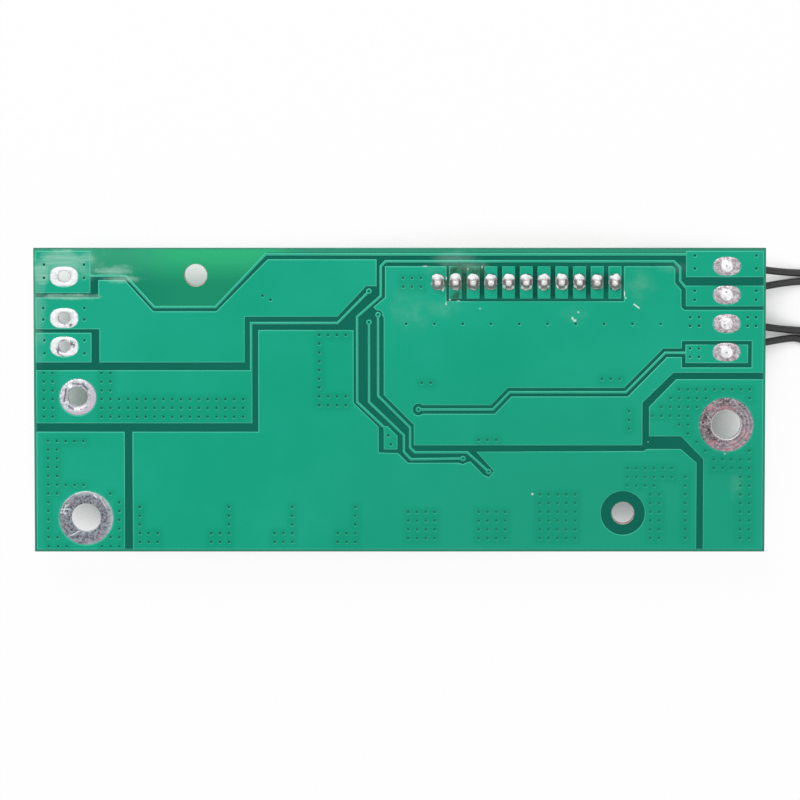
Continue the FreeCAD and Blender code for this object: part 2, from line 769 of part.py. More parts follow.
def solder_side_nets(thickness):
    """Every net of the solder side as one flat solid, before its holes are cut."""
    left_block = drawn([(0, FAR), (8.2, FAR), (8.2, -6.4), (0, -6.4)], thickness)
    right_block = drawn([(-11.5, FAR), (FAR, FAR), (FAR, -4.1), (-11.5, -4.1)], thickness)
    nets = [left_block.multiFuse([right_block, trace(UPPER_LINK, thickness)])]
    nets.append(drawn([(0, -7), (9.3, -7), (9.3, -4.5), (13.1, -4.5), (17.2, -9),
                       (26.2, -9), (33.6, -1.5), (-55.8, -1.5), (-55.8, -5.4), (-57.3, -5.4),
                       (-61.4, -9.8), (30.3, -9.8), (30.3, -16.4), (9.4, -16.4), (9.4, -11.6),
                       (0, -11.6)], thickness))
    nets.append(drawn([(0, -12.1), (8.3, -12.1), (8.3, -16.4), (0, -16.4)], thickness))
    charge = drawn([(0, -17.5), (31.2, -17.5), (31.38, -25.2), (0, -25.2)], thickness)
    nets.append(charge.multiFuse([trace(CHARGE_SENSE, thickness), via_land(-56.9, -6.1, thickness)]))
    nets.append(drawn([(14.1, -26.4), (32.2, -26.4), (32.2, -11.7), (-59.1, -11.7), (-59.1, -22.2),
                       (-55.5, -25.7), (-55.5, -29.4), (-52.7, -29.5), (-51.3, -30.9), (-44, -30.9),
                       (-43.4, -31.1), (-42.7, -30.8), (-42.3, -30.7), (-40.5, -32.6), (-39.7, -33),
                       (-39, -32.1), (-41.5, -29.3), (-17.4, -29.2), (-17, -28.9), (-12.1, -28.9),
                       (-9.8, -30.9), (-9.8, 0), (14.1, 0)], thickness))
    nets.append(drawn([(0, -26.4), (13, -26.4), (13, 0), (0, 0)], thickness))
    nets.append(drawn([(-16.7, -27.1), (-16.7, -22.8), (-12.8, -18.8), (FAR, -18.8), (FAR, 0),
                       (-8.9, 0), (-8.9, -30.4), (-12.1, -27.1)], thickness))
    second = drawn([(-11.5, -5.3), (FAR, -5.3), (FAR, -8.3), (-11.5, -8.3)], thickness)
    second_tail = drawn([(-54.8, -25.6), (-54.2, -25.6), (-52.8, -27), (-52.8, -29), (-54.8, -29)],
                        thickness)
    nets.append(second.multiFuse([trace(SECOND_SENSE, thickness), second_tail]))
    nets.append(trace(DRIVE_ONE, thickness).multiFuse([via_land(-55.6, -9.5, thickness),
                                                       via_land(-39.7, -32.2, thickness)]))
    nets.append(trace(DRIVE_TWO, thickness).multiFuse([via_land(-56.9, -10.6, thickness),
                                                       via_land(-43.4, -30.3, thickness)]))
    fourth = drawn(FOURTH_BLOCK, thickness)
    nets.append(fourth.multiFuse([trace(FOURTH_SENSE, thickness), via_land(-49.8, -23.2, thickness)]))
    nets.append(right_pour(thickness))
    return nets + pin_lands(thickness)


def right_pour(thickness):
    """The large pour round the header, with a notch for the pin lands and an island."""
    land, gap = size("pin_land_width"), size("pin_land_gap")
    notch_left = pin_x(1) - land / 2 - gap
    notch_right = pin_x(size("pin_count") - 1) + land / 2 + gap
    top = at(FAR, -2.5).y
    floor = top - size("pin_land_length") - gap
    upper = [(-13, -2.9), (-13, -4.9), (-12.1, -5.9), (-12.1, -8.3), (-11.7, -8.8), (FAR, -8.8),
             (FAR, -17.9), (-13.2, -17.9), (-17.6, -22.2), (-17.6, -28.4), (-50.5, -28.4),
             (-50.5, -25.4), (-54.8, -21.1), (-54.8, -9.9), (-55.9, -8.8), (-56.3, -8.4),
             (-54.6, -7), (-54.6, -2.5)]
    notch = [V(notch_left, top, 0), V(notch_left, floor, 0), V(notch_right, floor, 0),
             V(notch_right, top, 0)]
    pour = area([at(x, y) for x, y in upper] + notch + [at(-13.4, -2.5)], thickness)
    clearance = size("trace_clearance")
    island = [drawn(FOURTH_ISLAND, thickness), trace(FOURTH_SENSE, thickness, clearance),
              via_land(-49.8, -23.2, thickness, clearance),
              via_land(-55.6, -9.5, thickness, clearance / 2)]
    return pour.cut(island)


def pin_lands(thickness):
    """A separate land for each header pin after the first."""
    width, length = size("pin_land_width"), size("pin_land_length")
    top = at(FAR, -2.5).y
    lands = []
    for step in range(1, int(size("pin_count"))):
        low = V(pin_x(step) - width / 2, top - length, 0)
        lands.append(Part.makeBox(width, length, thickness, low))
    return lands


def numbers(formula_pair):
    """A spot's formulas as numbers, read from a point object bound to them."""
    probe = place(doc.addObject("Part::Vertex", "spot"), *formula_pair)
    doc.recompute()
    spot = probe.Placement.Base
    doc.removeObject(probe.Name)
    return spot.x, spot.y


def pad_openings(thickness):
    """The holes and soldered lands that interrupt the copper of either side."""
    screws = [(UPPER_SCREW, "screw_clear_diameter"), (LOWER_SCREW, "screw_clear_diameter")]
    power = [(BATTERY_LAND, "power_land_diameter"), (PACK_LAND, "power_land_diameter"),
             (CHARGE_LAND, "charge_land_diameter")]
    tools = [disc(*numbers(spot), size(width), thickness) for spot, width in screws + power]
    for spots, side in ((LEFT_OVALS, "left"), (RIGHT_OVALS, "right")):
        tools += [oval(*numbers(spot), size(side + "_oval_length"), size(side + "_oval_width"),
                       thickness) for spot in spots]
    row_y = size("board_width") / 2 - size("pin_row_from_top")
    width = size("pin_width")
    for step in range(int(size("pin_count"))):
        low = V(pin_x(step) - width / 2, row_y - width / 2, 0)
        tools.append(Part.makeBox(width, width, thickness, low))
    return tools


def solder_side_copper():
    """The etched and masked copper of the solder side, one solid for each net."""
    thickness = size("copper_thickness")
    tools = pad_openings(thickness)
    item = doc.addObject("Part::Feature", "solder_side_copper")
    item.Shape = Part.makeCompound([solid for net in solder_side_nets(thickness)
                                    for solid in net.cut(tools).removeSplitter().Solids])
    return node(place(item, 0, 0, TOPSIDE), "solder_side_copper")


def block(low_x, low_y, high_x, high_y, thickness):
    """A rectangular pour given by two opposite corners, from the board's edges."""
    return drawn([(low_x, low_y), (high_x, low_y), (high_x, high_y), (low_x, high_y)], thickness)


def component_side_copper():
    """The component side's pours: power planes, switch bars, sense blocks and cell pads."""
    thickness = size("copper_thickness")
    pours = [block(0, 0, 13.4, -26.4, thickness),           # battery side of the shunts
             block(15.2, -32.4, -30, -26.4, thickness),     # far side of the shunts and the sources
             block(15.2, 0, -30, -32.9, thickness),         # drain area under the tabs
             block(0, -25.2, 31.2, -17.5, thickness),       # charge terminal
             block(32.4, -25.2, -54.8, -10.8, thickness),   # charge transistors
             block(-16.7, 0, FAR, -20.2, thickness),        # pack terminal
             block(0, -16.4, 30.3, -7, thickness),          # second and third cell taps
             block(0, -6.4, 18, -0.4, thickness)]           # first cell tap
    pours += [block(-11.5, low, FAR, low + 3.2, thickness) for low in (-16.6, -12.5, -8.3, -4.1)]
    for step in range(BALANCE_CELLS):
        x, middle = numbers(bleed_spot(step))
        land = size("bleed_length") / 4
        reach = size("bleed_length") / 2 + size("bleed_height") / 2
        for low in (middle - reach, middle + reach - land):
            pours.append(Part.makeBox(size("bleed_width"), land, thickness,
                                      V(x - size("bleed_width") / 2, low, 0)))
    tools = pad_openings(thickness)
    item = doc.addObject("Part::Feature", "component_side_copper")
    solids = [solid for pour in pours for solid in pour.cut(tools).removeSplitter().Solids]
    item.Shape = Part.makeCompound(solids)
    return node(place(item, 0, 0, PART_SEAT), "component_side_copper")


# Thermistor leads, each from its joint under the board to a coil on the surface

LEAD_DROP = [(0, -1.0), (0.8, -1.95)]          # along X and down from the end of the strands
LEAD_RUNS = [                                   # X, then Y of the four leads, then Z
    (49.5, (18.9, 15.4, 10.7, 7.2), 3.5),
    (52.7, (18.2, 15.9, 9.95, 7.75), 2.7),
    (56.0, (17.75, 16.35, 9.45, 8.2), 1.6),
]
UPPER_TAIL = [(59.3, 0.7), (62.6, 0.56), (65.9, 0.54)]      # X and Z of leads one and two
LOWER_TAIL = [                                  # middle X, Y of leads three and four, then Z
    (58.2, 9.2, 8.15, 0.65),
    (60.0, 8.3, 7.25, 0.55),
    (61.2, 6.45, 5.55, 0.54),
    (62.05, 4.1, 3.3, 0.56),
    (62.5, 1.5, 0.8, 0.54),
    (62.5, -1.0, -2.2, 0.55),
]


def lead_route(number):
    """The points of one lead, chosen by eye along what the photograph shows."""
    spot = numbers(RIGHT_OVALS[number - 1])
    start = V(spot[0], spot[1], size("header_height") - size("strand_length"))
    route = [start] + [start + V(along, 0, down) for along, down in LEAD_DROP]
    route += [V(x, ys[number - 1], z) for x, ys, z in LEAD_RUNS]
    half = size("lead_spacing") / 2
    if number <= 2:
        middle = size("coil_one_from_middle") + size("coil_middle_radius")
        side = half if number == 1 else -half
        return route + [V(x, middle + side, z) for x, z in UPPER_TAIL]
    outer = number == 3
    return route + [V(x + (half if outer else -half), high if outer else low, z)
                    for x, high, low, z in LOWER_TAIL]


def lead_tube(number, coil):
    """A round tube of straight runs joined by tangent arcs, ending on its coil."""
    points = lead_route(number)
    radius = size("lead_diameter") / 2
    edges, start = [], points[0]
    for before, corner, after in zip(points, points[1:], points[2:]):
        arriving, leaving = corner - before, after - corner
        turn = arriving.getAngle(leaving)
        reach = 0.45 * min(arriving.Length, leaving.Length)
        print(f"lead {number}: arc radius {reach / math.tan(turn / 2):.1f}")
        first = corner - arriving.normalize() * reach
        last = corner + leaving.normalize() * reach
        bulge = corner + (leaving - arriving).normalize() * (
            reach / math.tan(turn / 2) * (1 / math.cos(turn / 2) - 1))
        edges.append(Part.LineSegment(start, first).toShape())
        edges.append(Part.Arc(first, bulge, last).toShape())
        start = last
    edges.append(Part.LineSegment(start, points[-1]).toShape())
    path = Part.Wire(edges)
    ring = Part.Wire(Part.Circle(points[0], points[1] - points[0], radius).toShape())
    tube = path.makePipeShell([ring], True, True)
    share = tube.Volume / (math.pi * radius ** 2 * path.Length)
    print(f"lead {number}: {path.Length:.1f} long, volume {share:.4f} of section times length")
    item = doc.addObject("Part::Feature", f"lead_{number}")
    item.Shape = tube.cut(coil.Shape)
    return node(item, f"lead_{number}")


def coil(number, middle_y):
    """The space that one pair's wound turns fill: a flat ring on the surface."""
    name = f"coil_{number}"
    wide = "2 * (coil_middle_radius + lead_diameter / 2 + lead_spacing / 2)"
    narrow = "2 * (coil_middle_radius - lead_diameter / 2 - lead_spacing / 2)"
    ring = cut(name, cylinder(name + "_outside", wide, "coil_height"),
               cylinder(name + "_inside", narrow, "coil_height"))
    return node(place(ring, f"{RIGHT} + coil_from_edge", middle_y, 0), name)


def bead(number, x, y, turn):
    """The epoxy bead that holds the thermistor, lying on its coil where the turns end."""
    body = new_body(f"bead_{number}")
    profile = sketch_on(body, f"bead_{number}_profile", "XZ_Plane")
    half, tip, shoulder = "bead_length / 2", "bead_tip_diameter / 2", "bead_shoulder_diameter / 2"
    outline(profile, [("0", f"-{half}"), (tip, f"-{half}"), (shoulder, "-bead_length / 4"),
                      ("bead_diameter / 2", "0"), (shoulder, "bead_length / 4"),
                      (tip, half), ("0", half)])
    turned = body.newObject("PartDesign::Revolution", f"bead_{number}_turned")
    turned.Profile = profile
    turned.ReferenceAxis = (profile, ["V_Axis"])
    turned.Angle = 360
    return node(place(body, x, y, "coil_height + bead_diameter / 2", turn), f"bead_{number}")


def thermistor_leads():
    """Two pairs of leads with their coils and beads."""
    coils = [coil(number, spot) for number, spot in
             ((1, "coil_one_from_middle"), (2, "coil_two_from_middle"))]
    doc.recompute()
    for number in range(1, 5):
        lead_tube(number, coils[(number - 1) // 2])
    bead(1, f"{RIGHT} + coil_from_edge + coil_middle_radius", "coil_one_from_middle",
         FreeCAD.Rotation(V(1, 0, 0), 90))
    bead(2, f"{RIGHT} + coil_from_edge", "coil_two_from_middle - coil_middle_radius",
         FreeCAD.Rotation(V(0, 1, 0), 90))


def write_parts():
    """Check every object and write each sub-part to its own file."""
    doc.recompute()
    for item in doc.Objects:
        for state in item.State:
            if state in ("Invalid", "Error"):
                raise RuntimeError(f"{item.Label} failed: {state}")
    for item in nodes:
        if item.Shape.isNull() or not item.Shape.isValid() or not item.Shape.Solids:
            raise RuntimeError(f"{item.Label} has no valid solid")
    os.makedirs("parts", exist_ok=True)
    for item in nodes:
        item.Shape.exportStep(f"parts/{item.Label}.step")
    print(len(nodes), "sub-parts written")


circuit_board()
round_land("battery_minus_land", "power_bore_diameter", "power_land_diameter", BATTERY_LAND)
round_land("pack_minus_land", "power_bore_diameter", "power_land_diameter", PACK_LAND)
round_land("charge_minus_land", "charge_bore_diameter", "charge_land_diameter", CHARGE_LAND)
for number, spot in enumerate(LEFT_OVALS, start=1):
    left_terminal(number, spot)
for number, spot in enumerate(RIGHT_OVALS, start=1):
    lead_joint(number, spot)
solder_side_copper()
component_side_copper()
header_housing()
header_pins()
header_joints()
components()
thermistor_leads()
write_parts()
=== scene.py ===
import math

import bmesh
import bpy
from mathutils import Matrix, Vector, noise
from mathutils.geometry import delaunay_2d_cdt


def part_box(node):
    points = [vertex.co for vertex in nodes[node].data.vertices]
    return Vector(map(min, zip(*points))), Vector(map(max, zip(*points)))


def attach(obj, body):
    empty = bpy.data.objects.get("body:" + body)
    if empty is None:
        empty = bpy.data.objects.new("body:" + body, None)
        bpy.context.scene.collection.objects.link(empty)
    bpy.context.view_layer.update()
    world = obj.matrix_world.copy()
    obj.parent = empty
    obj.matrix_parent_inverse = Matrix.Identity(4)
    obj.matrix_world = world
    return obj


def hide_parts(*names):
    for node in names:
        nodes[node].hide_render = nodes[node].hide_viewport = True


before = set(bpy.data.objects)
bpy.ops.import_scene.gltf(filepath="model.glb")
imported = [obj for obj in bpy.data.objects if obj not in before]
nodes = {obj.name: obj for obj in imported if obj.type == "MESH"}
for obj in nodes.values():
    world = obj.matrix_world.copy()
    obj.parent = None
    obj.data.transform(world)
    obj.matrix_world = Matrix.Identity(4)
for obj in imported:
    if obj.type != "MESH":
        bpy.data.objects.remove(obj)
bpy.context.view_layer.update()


# Laminate: 1.6 mm of woven glass in epoxy under a green solder mask. It was routed out of a
# panel, so its edges show the cut glass and its corners are barely broken; every hole that the
# CAD has is drilled through it.

MM = 0.001
BOARD_BACK, BOARD_FACE = 7.0 * MM, 8.6 * MM
HALF_LENGTH, HALF_WIDTH = 52.5 * MM, 21.9 * MM
SMALLEST_TURN = 0.002  # sine of the turn from which a point of an outline is a corner
WELD = 0.001 * MM  # points closer than this are one


def without_straight_points(line):
    """The corners of a closed line, without the points in the middle of straight runs."""
    kept = []
    for before, spot, after in zip(line[-1:] + line[:-1], line, line[1:] + line[:1]):
        arriving, leaving = (spot - before).normalized(), (after - spot).normalized()
        if abs(arriving.cross(leaving)) > SMALLEST_TURN:
            kept.append(spot)
    return kept


def twice_area(line):
    """Twice the area inside a closed line, below zero where it runs clockwise."""
    return sum(a.cross(b) for a, b in zip(line, line[1:] + line[:1]))


def flat_areas(node, level):
    """A CAD node's flat faces at a height: for each area its outer line and then its holes."""
    mesh = bmesh.new()
    mesh.from_mesh(nodes[node].data)
    bmesh.ops.remove_doubles(mesh, verts=mesh.verts, dist=WELD)
    flat = {face: None for face in mesh.faces
            if abs(face.normal.z) > 0.99 and abs(face.verts[0].co.z - level) < 0.01 * MM}
    areas = []
    while flat:
        area, front = {}, [flat.popitem()[0]]
        while front:
            face = front.pop()
            area[face] = None
            for other in (o for edge in face.edges for o in edge.link_faces if o in flat):
                del flat[other]
                front.append(other)
        follow = {loop.vert: loop.link_loop_next.vert for face in area for loop in face.loops
                  if not any(o in area for o in loop.edge.link_faces if o is not face)}
        lines = []
        while follow:
            start, spot = follow.popitem()
            line = [start.co.xy]
            while spot is not start:
                line.append(spot.co.xy)
                spot = follow.pop(spot)
            line = without_straight_points(line)
            lines.append(line if twice_area(line) > 0 else line[::-1])
        areas.append(sorted(lines, key=twice_area, reverse=True))
    mesh.free()
    return areas


def drawn_in(line, reach):
    """A closed line moved to its left by a distance, with mitred corners."""
    moved = []
    for before, spot, after in zip(line[-1:] + line[:-1], line, line[1:] + line[:1]):
        arriving, leaving = (spot - before).normalized(), (after - spot).normalized()
        across = Vector((-arriving.y - leaving.y, arriving.x + leaving.x))
        moved.append(spot + across * (reach / max(0.5, 1 + arriving.dot(leaving))))
    return moved


def without_folds(line, reach):
    """A closed line less the points that would cross over when it is drawn in."""
    folded = True
    while folded:
        moved = drawn_in(line, reach)
        folded = [number for number in range(len(line))
                  if (line[number] - line[number - 1]).dot(moved[number] - moved[number - 1]) <= 0]
        line = [spot for number, spot in enumerate(line) if number not in folded]
    return line


def circle_line(centre, radius, count):
    """A closed round line, counter-clockwise."""
    turns = [2 * math.pi * step / count for step in range(count)]
    return [centre + radius * Vector((math.cos(turn), math.sin(turn))) for turn in turns]


def ring_of(mesh, line, height):
    """A ring of vertices at a height."""
    return [mesh.verts.new((spot.x, spot.y, height)) for spot in line]


def band(mesh, low, high, outside=True, skin=0):
    """A smooth band of faces between two rings of equally many vertices."""
    for a, b, c, d in zip(low, low[1:] + low[:1], high[1:] + high[:1], high):
        face = mesh.faces.new((a, b, c, d) if outside else (d, c, b, a))
        face.smooth, face.material_index = True, skin


def inside(spot, line):
    """Whether a closed line goes round a point."""
    crossings = sum((a.y > spot.y) != (b.y > spot.y)
                    and spot.x < a.x + (b.x - a.x) * (spot.y - a.y) / (b.y - a.y)
                    for a, b in zip(line, line[1:] + line[:1]))
    return crossings % 2 == 1


def lid(mesh, rings, upwards):
    """Flat triangles inside the first ring and outside the others.

    Each triangle is chosen by where its middle lies, since rings of neighbours may cross a little.
    """
    spots = [vert for ring in rings for vert in ring]
    faces, start = [], 0
    for ring in rings:
        faces.append(list(range(start, start + len(ring))))
        start += len(ring)
    made = delaunay_2d_cdt([vert.co.xy for vert in spots], [], faces, 0, 1e-9)
    lines = [[vert.co.xy for vert in ring] for ring in rings]
    spans = [[(min(values), max(values)) for values in zip(*line)] for line in lines]
    height = spots[0].co.z
    verts = [spots[older[0]] if older else mesh.verts.new((*place, height))
             for place, older in zip(made[0], made[3])]
    for corners in made[2]:
        middle = sum((made[0][corner] for corner in corners), Vector((0, 0))) / 3
        around = [number for number, ((left, right), (low, high)) in enumerate(spans)
                  if left < middle.x < right and low < middle.y < high
                  and inside(middle, lines[number])]
        if around == [0]:
            corners = [verts[corner] for corner in corners]
            mesh.faces.new(corners if upwards else corners[::-1])


def new_piece(name, mesh, materials, node):
    """A finished mesh as a piece that rides on the board and stands for a CAD node."""
    data = bpy.data.meshes.new(name)
    mesh.to_mesh(data)
    mesh.free()
    for material in materials:
        data.materials.append(material)
    piece = bpy.data.objects.new(name, data)
    bpy.context.scene.collection.objects.link(piece)
    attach(piece, "root")
    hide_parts(node)
    return piece


def plate(areas, levels, dimples=(), edge_skin=0, hole_skin=0):
    """A flat plate with broken edges.

    levels are (height, how far the edge is drawn in) from below, dimples are (spot, share of a
    full via), and the skins are the material numbers of the outer edge and of the holes' edges.
    """
    mesh = bmesh.new()
    for area in areas:
        tops = []
        for number, line in enumerate(area):
            side = 1 if number == 0 else -1
            line = without_folds(line, side * max(reach for height, reach in levels))
            rings = [ring_of(mesh, drawn_in(line, side * reach), height)
                     for height, reach in levels]
            for low, high in zip(rings, rings[1:]):
                band(mesh, low, high, number == 0, hole_skin if number else edge_skin)
            tops.append(rings)
        pits = []
        for spot, share in dimples:
            fitting = [share * less for less in VIA_SHARES if clear_of(spot, share * less, area)]
            if fitting:
                pits.append(dimple(mesh, spot, fitting[0], levels[-1][0]))
        lid(mesh, [rings[-1] for rings in tops] + pits, True)
        lid(mesh, [rings[0] for rings in tops], False)
    return mesh


def shader(name):
    """A new material with its node tree and its principled shader."""
    material = bpy.data.materials.new(name)
    material.use_nodes = True
    tree = material.node_tree
    return material, tree, tree.nodes["Principled BSDF"]


def add(tree, kind, links=None, **settings):
    """A node with its properties, its unlinked values and the sockets that feed it."""
    made = tree.nodes.new(kind)
    for key, value in settings.items():
        setattr(made, key, value)
    for key, value in (links or {}).items():
        socket = made.inputs[key]
        if isinstance(value, bpy.types.NodeSocket):
            tree.links.new(value, socket)
        else:
            socket.default_value = value
    return made


def maths(tree, operation, *values):
    """The result of a Math node."""
    return add(tree, "ShaderNodeMath", dict(enumerate(values)), operation=operation).outputs[0]


def vector_maths(tree, operation, *values):
    """The result of a Vector Math node: a number where the operation gives one."""
    made = add(tree, "ShaderNodeVectorMath", dict(enumerate(values)), operation=operation)
    gives_number = operation in ("LENGTH", "DISTANCE", "DOT_PRODUCT")
    return made.outputs["Value" if gives_number else "Vector"]


def mixed(tree, amount, one, other):
    """Two colours mixed; each is a socket or its red, green and blue."""
    made = add(tree, "ShaderNodeMix", data_type="RGBA", blend_type="MIX")
    for number, value in ((0, amount), (6, one), (7, other)):
        if isinstance(value, bpy.types.NodeSocket):
            tree.links.new(value, made.inputs[number])
        else:
            made.inputs[number].default_value = (*value, 1) if number else value
    return made.outputs[2]


def tinted(tree, colour, paint, mask, most):
    """A colour with a paint over it where the mask is, up to a share."""
    return mixed(tree, maths(tree, "MULTIPLY", mask, most), colour, paint)


def between(tree, value, low, high, start=0.0, end=1.0):
    """A value's way from low to high, eased and held at both ends."""
    made = add(tree, "ShaderNodeMapRange", {"Value": value, "From Min": low, "From Max": high,
                                            "To Min": start, "To Max": end},
               interpolation_type="SMOOTHSTEP")
    return made.outputs["Result"]


def grain(tree, spot, scale, detail=3.0, rough=0.5):
    """A noise value over the piece; scale is in features a metre."""
    made = add(tree, "ShaderNodeTexNoise", {"Vector": spot, "Scale": scale, "Detail": detail,
                                            "Roughness": rough})
    return made.outputs["Fac"]


def here(tree):
    """The surface point in the board's own frame."""
    return add(tree, "ShaderNodeTexCoord").outputs["Object"]


def bump(tree, principled, height, strength, distance):
    """Raise the surface by a height between 0 and 1, over a distance in metres."""
    made = add(tree, "ShaderNodeBump", {"Height": height, "Strength": strength,
                                        "Distance": distance})
    tree.links.new(made.outputs["Normal"], principled.inputs["Normal"])


def from_corner(x, y):
    """A point given in millimetres from the board's lower left corner."""
    return Vector((x * MM - HALF_LENGTH, y * MM - HALF_WIDTH))


def patches(tree, spot, places, hard=0.35, ragged=1.1):
    """A mask of ragged ovals: x, y, half length and half width from the corner, in millimetres."""
    wander = add(tree, "ShaderNodeTexNoise", {"Vector": spot, "Scale": 700.0, "Detail": 4.0})
    shift = vector_maths(tree, "SUBTRACT", wander.outputs["Color"], (0.5, 0.5, 0.5))
    total = 0.0
    for x, y, wide, high in places:
        centre = from_corner(x, y)
        away = vector_maths(tree, "SUBTRACT", spot, (centre.x, centre.y, 0))
        away = vector_maths(tree, "MULTIPLY", away, (1 / (wide * MM), 1 / (high * MM), 0))
        away = vector_maths(tree, "MULTIPLY_ADD", shift, (ragged, ragged, 0), away)
        oval = between(tree, vector_maths(tree, "LENGTH", away), 1, hard)
        total = maths(tree, "MAXIMUM", total, oval)
    return total


def stroke(tree, spot, start, end, width):
    """A mask of a straight thin line between two points, from the corner in millimetres."""
    first, last = from_corner(*start), from_corner(*end)
    along = (last - first).normalized()
    away = vector_maths(tree, "SUBTRACT", spot, (first.x, first.y, 0))
    way = vector_maths(tree, "DOT_PRODUCT", away, (along.x, along.y, 0))
    side = vector_maths(tree, "DOT_PRODUCT", away, (-along.y, along.x, 0))
    thin = between(tree, maths(tree, "ABSOLUTE", side), width * MM / 2, 0)
    reach, fading = (last - first).length, 0.1 * MM
    ends = maths(tree, "MULTIPLY", between(tree, way, 0, fading),
                 between(tree, way, reach, reach - fading))
    return maths(tree, "MULTIPLY", thin, ends)


def group(name, *outputs):
    """A reusable group of nodes, its output node and the surface point."""
    tree = bpy.data.node_groups.new(name, "ShaderNodeTree")
    for label in outputs:
        tree.interface.new_socket(label, in_out="OUTPUT", socket_type="NodeSocketFloat")
    return tree, tree.nodes.new("NodeGroupOutput"), here(tree)


def used(tree, made):
    """A group's outputs, put to use in a material."""
    return add(tree, "ShaderNodeGroup", node_tree=made).outputs


# Soil on the mask of both kinds: flux haze and burnt flux round the hand-soldered pins, the
# milky strips at the left end, and a few stray flecks of solder and dust.
mask_soil, end, spot = group("mask_soil", "Haze", "Scorch", "Fleck")
tree = mask_soil
milky = patches(tree, spot, [(4.3, 42.3, 5.6, 2.1), (11.6, 40.7, 3.6, 1.0),
                             (5.4, 36.9, 5.6, 0.55), (1.2, 40.4, 1.4, 2.6)])
streaks = grain(tree, vector_maths(tree, "MULTIPLY", spot, (260, 3300, 1)), 1.0, 2.0)
milky = maths(tree, "MULTIPLY", milky, between(tree, streaks, 0.3, 0.7, 0.3, 0.6))
faint = patches(tree, spot, [
    (57.0, 40.7, 1.9, 1.2), (54.0, 35.0, 3.6, 4.4), (58.6, 35.3, 4.0, 1.8), (86.9, 38.6, 3.4, 3.4),
    (101.0, 9.6, 1.6, 2.8), (91.7, 41.0, 3.1, 1.2), (77.4, 34.4, 2.6, 1.6)], 0.0, 0.9)
faint = maths(tree, "MULTIPLY", faint,
              between(tree, grain(tree, spot, 520, 4, 0.6), 0.3, 0.75, 0.02, 0.13))
over_header = patches(tree, spot, [(60.4, 42.2, 4.0, 1.6), (62.6, 41.4, 3.0, 1.2)], 0.1)
faint = maths(tree, "MAXIMUM", faint, maths(tree, "MULTIPLY", over_header, 0.2))
left_link = patches(tree, spot, [(12.6, 39.4, 3.4, 0.7), (4.6, 41.8, 5.9, 3.2)], 0.2)
faint = maths(tree, "MAXIMUM", faint, maths(tree, "MULTIPLY", left_link, 0.42))
left_rim = patches(tree, spot, [(0.6, 35.0, 1.5, 9.0)], 0.2)
faint = maths(tree, "MAXIMUM", faint, maths(tree, "MULTIPLY", left_rim, 0.18))
upper_side = between(tree, add(tree, "ShaderNodeSeparateXYZ", {0: spot}).outputs["Z"],
                     7.6 * MM, 8.0 * MM)
haze = maths(tree, "MULTIPLY", maths(tree, "MAXIMUM", milky, faint), upper_side)
tree.links.new(haze, end.inputs["Haze"])
burnt = patches(tree, spot, [
    (61.8, 40.9, 3.6, 1.3), (63.6, 40.4, 1.7, 1.2), (60.4, 40.6, 1.7, 1.3),
    (60.4, 37.1, 1.4, 1.0), (59.0, 38.6, 0.9, 1.6), (61.8, 38.9, 0.6, 2.0)], 0.2, 1.2)
burnt = maths(tree, "MULTIPLY", burnt,
              between(tree, grain(tree, spot, 1500, 4, 0.65), 0.28, 0.6, 0.35, 0.95))
tree.links.new(maths(tree, "MULTIPLY", burnt, upper_side), end.inputs["Scorch"])
fleck = patches(tree, spot, [
    (77.6, 33.5, 0.3, 0.26), (77.3, 33.8, 0.22, 0.3), (78.1, 34.7, 0.16, 0.22),
    (71.6, 8.4, 0.2, 0.24), (99.2, 14.2, 0.14, 0.14), (58.7, 38.1, 0.34, 0.6),
    (84.72, 37.3, 0.13, 0.6), (84.9, 36.7, 0.12, 0.25), (64.0, 35.2, 0.14, 0.13),
    (56.2, 41.3, 0.5, 0.08), (59.7, 36.5, 0.2, 0.16), (60.9, 36.3, 0.4, 0.07),
    (59.2, 39.6, 0.12, 0.4), (62.3, 40.9, 0.09, 0.2), (64.3, 41.2, 0.1, 0.24),
    (88.2, 15.9, 0.1, 0.1), (59.15, 35.9, 0.14, 0.3)], 0.3)
fleck = maths(tree, "MULTIPLY", fleck, 0.85)
chip_mark = stroke(tree, spot, (86.0, 35.9), (86.9, 35.2), 0.34)
fleck = maths(tree, "MAXIMUM", fleck, chip_mark)
tree.links.new(maths(tree, "MULTIPLY", fleck, upper_side), end.inputs["Fleck"])

# The mask's own skin: slow unevenness of its thickness, and a fine orange peel.
mask_skin, end, spot = group("mask_skin", "Tone", "Peel")
tree = mask_skin
tree.links.new(between(tree, grain(tree, spot, 45, 4, 0.6), 0.3, 0.7), end.inputs["Tone"])
tree.links.new(grain(tree, spot, 900, 3), end.inputs["Peel"])


def soiled(tree, colour):
    """A mask colour with the soil on it, and how far the soil dulls it."""
    soil = used(tree, mask_soil)
    colour = mixed(tree, soil["Scorch"], colour, (0.032, 0.112, 0.062))
    colour = mixed(tree, soil["Haze"], colour, (0.4, 0.7, 0.57))
    colour = mixed(tree, soil["Fleck"], colour, (0.75, 0.86, 0.8))
    dull = maths(tree, "MAXIMUM", soil["Haze"], soil["Scorch"])
    return colour, dull


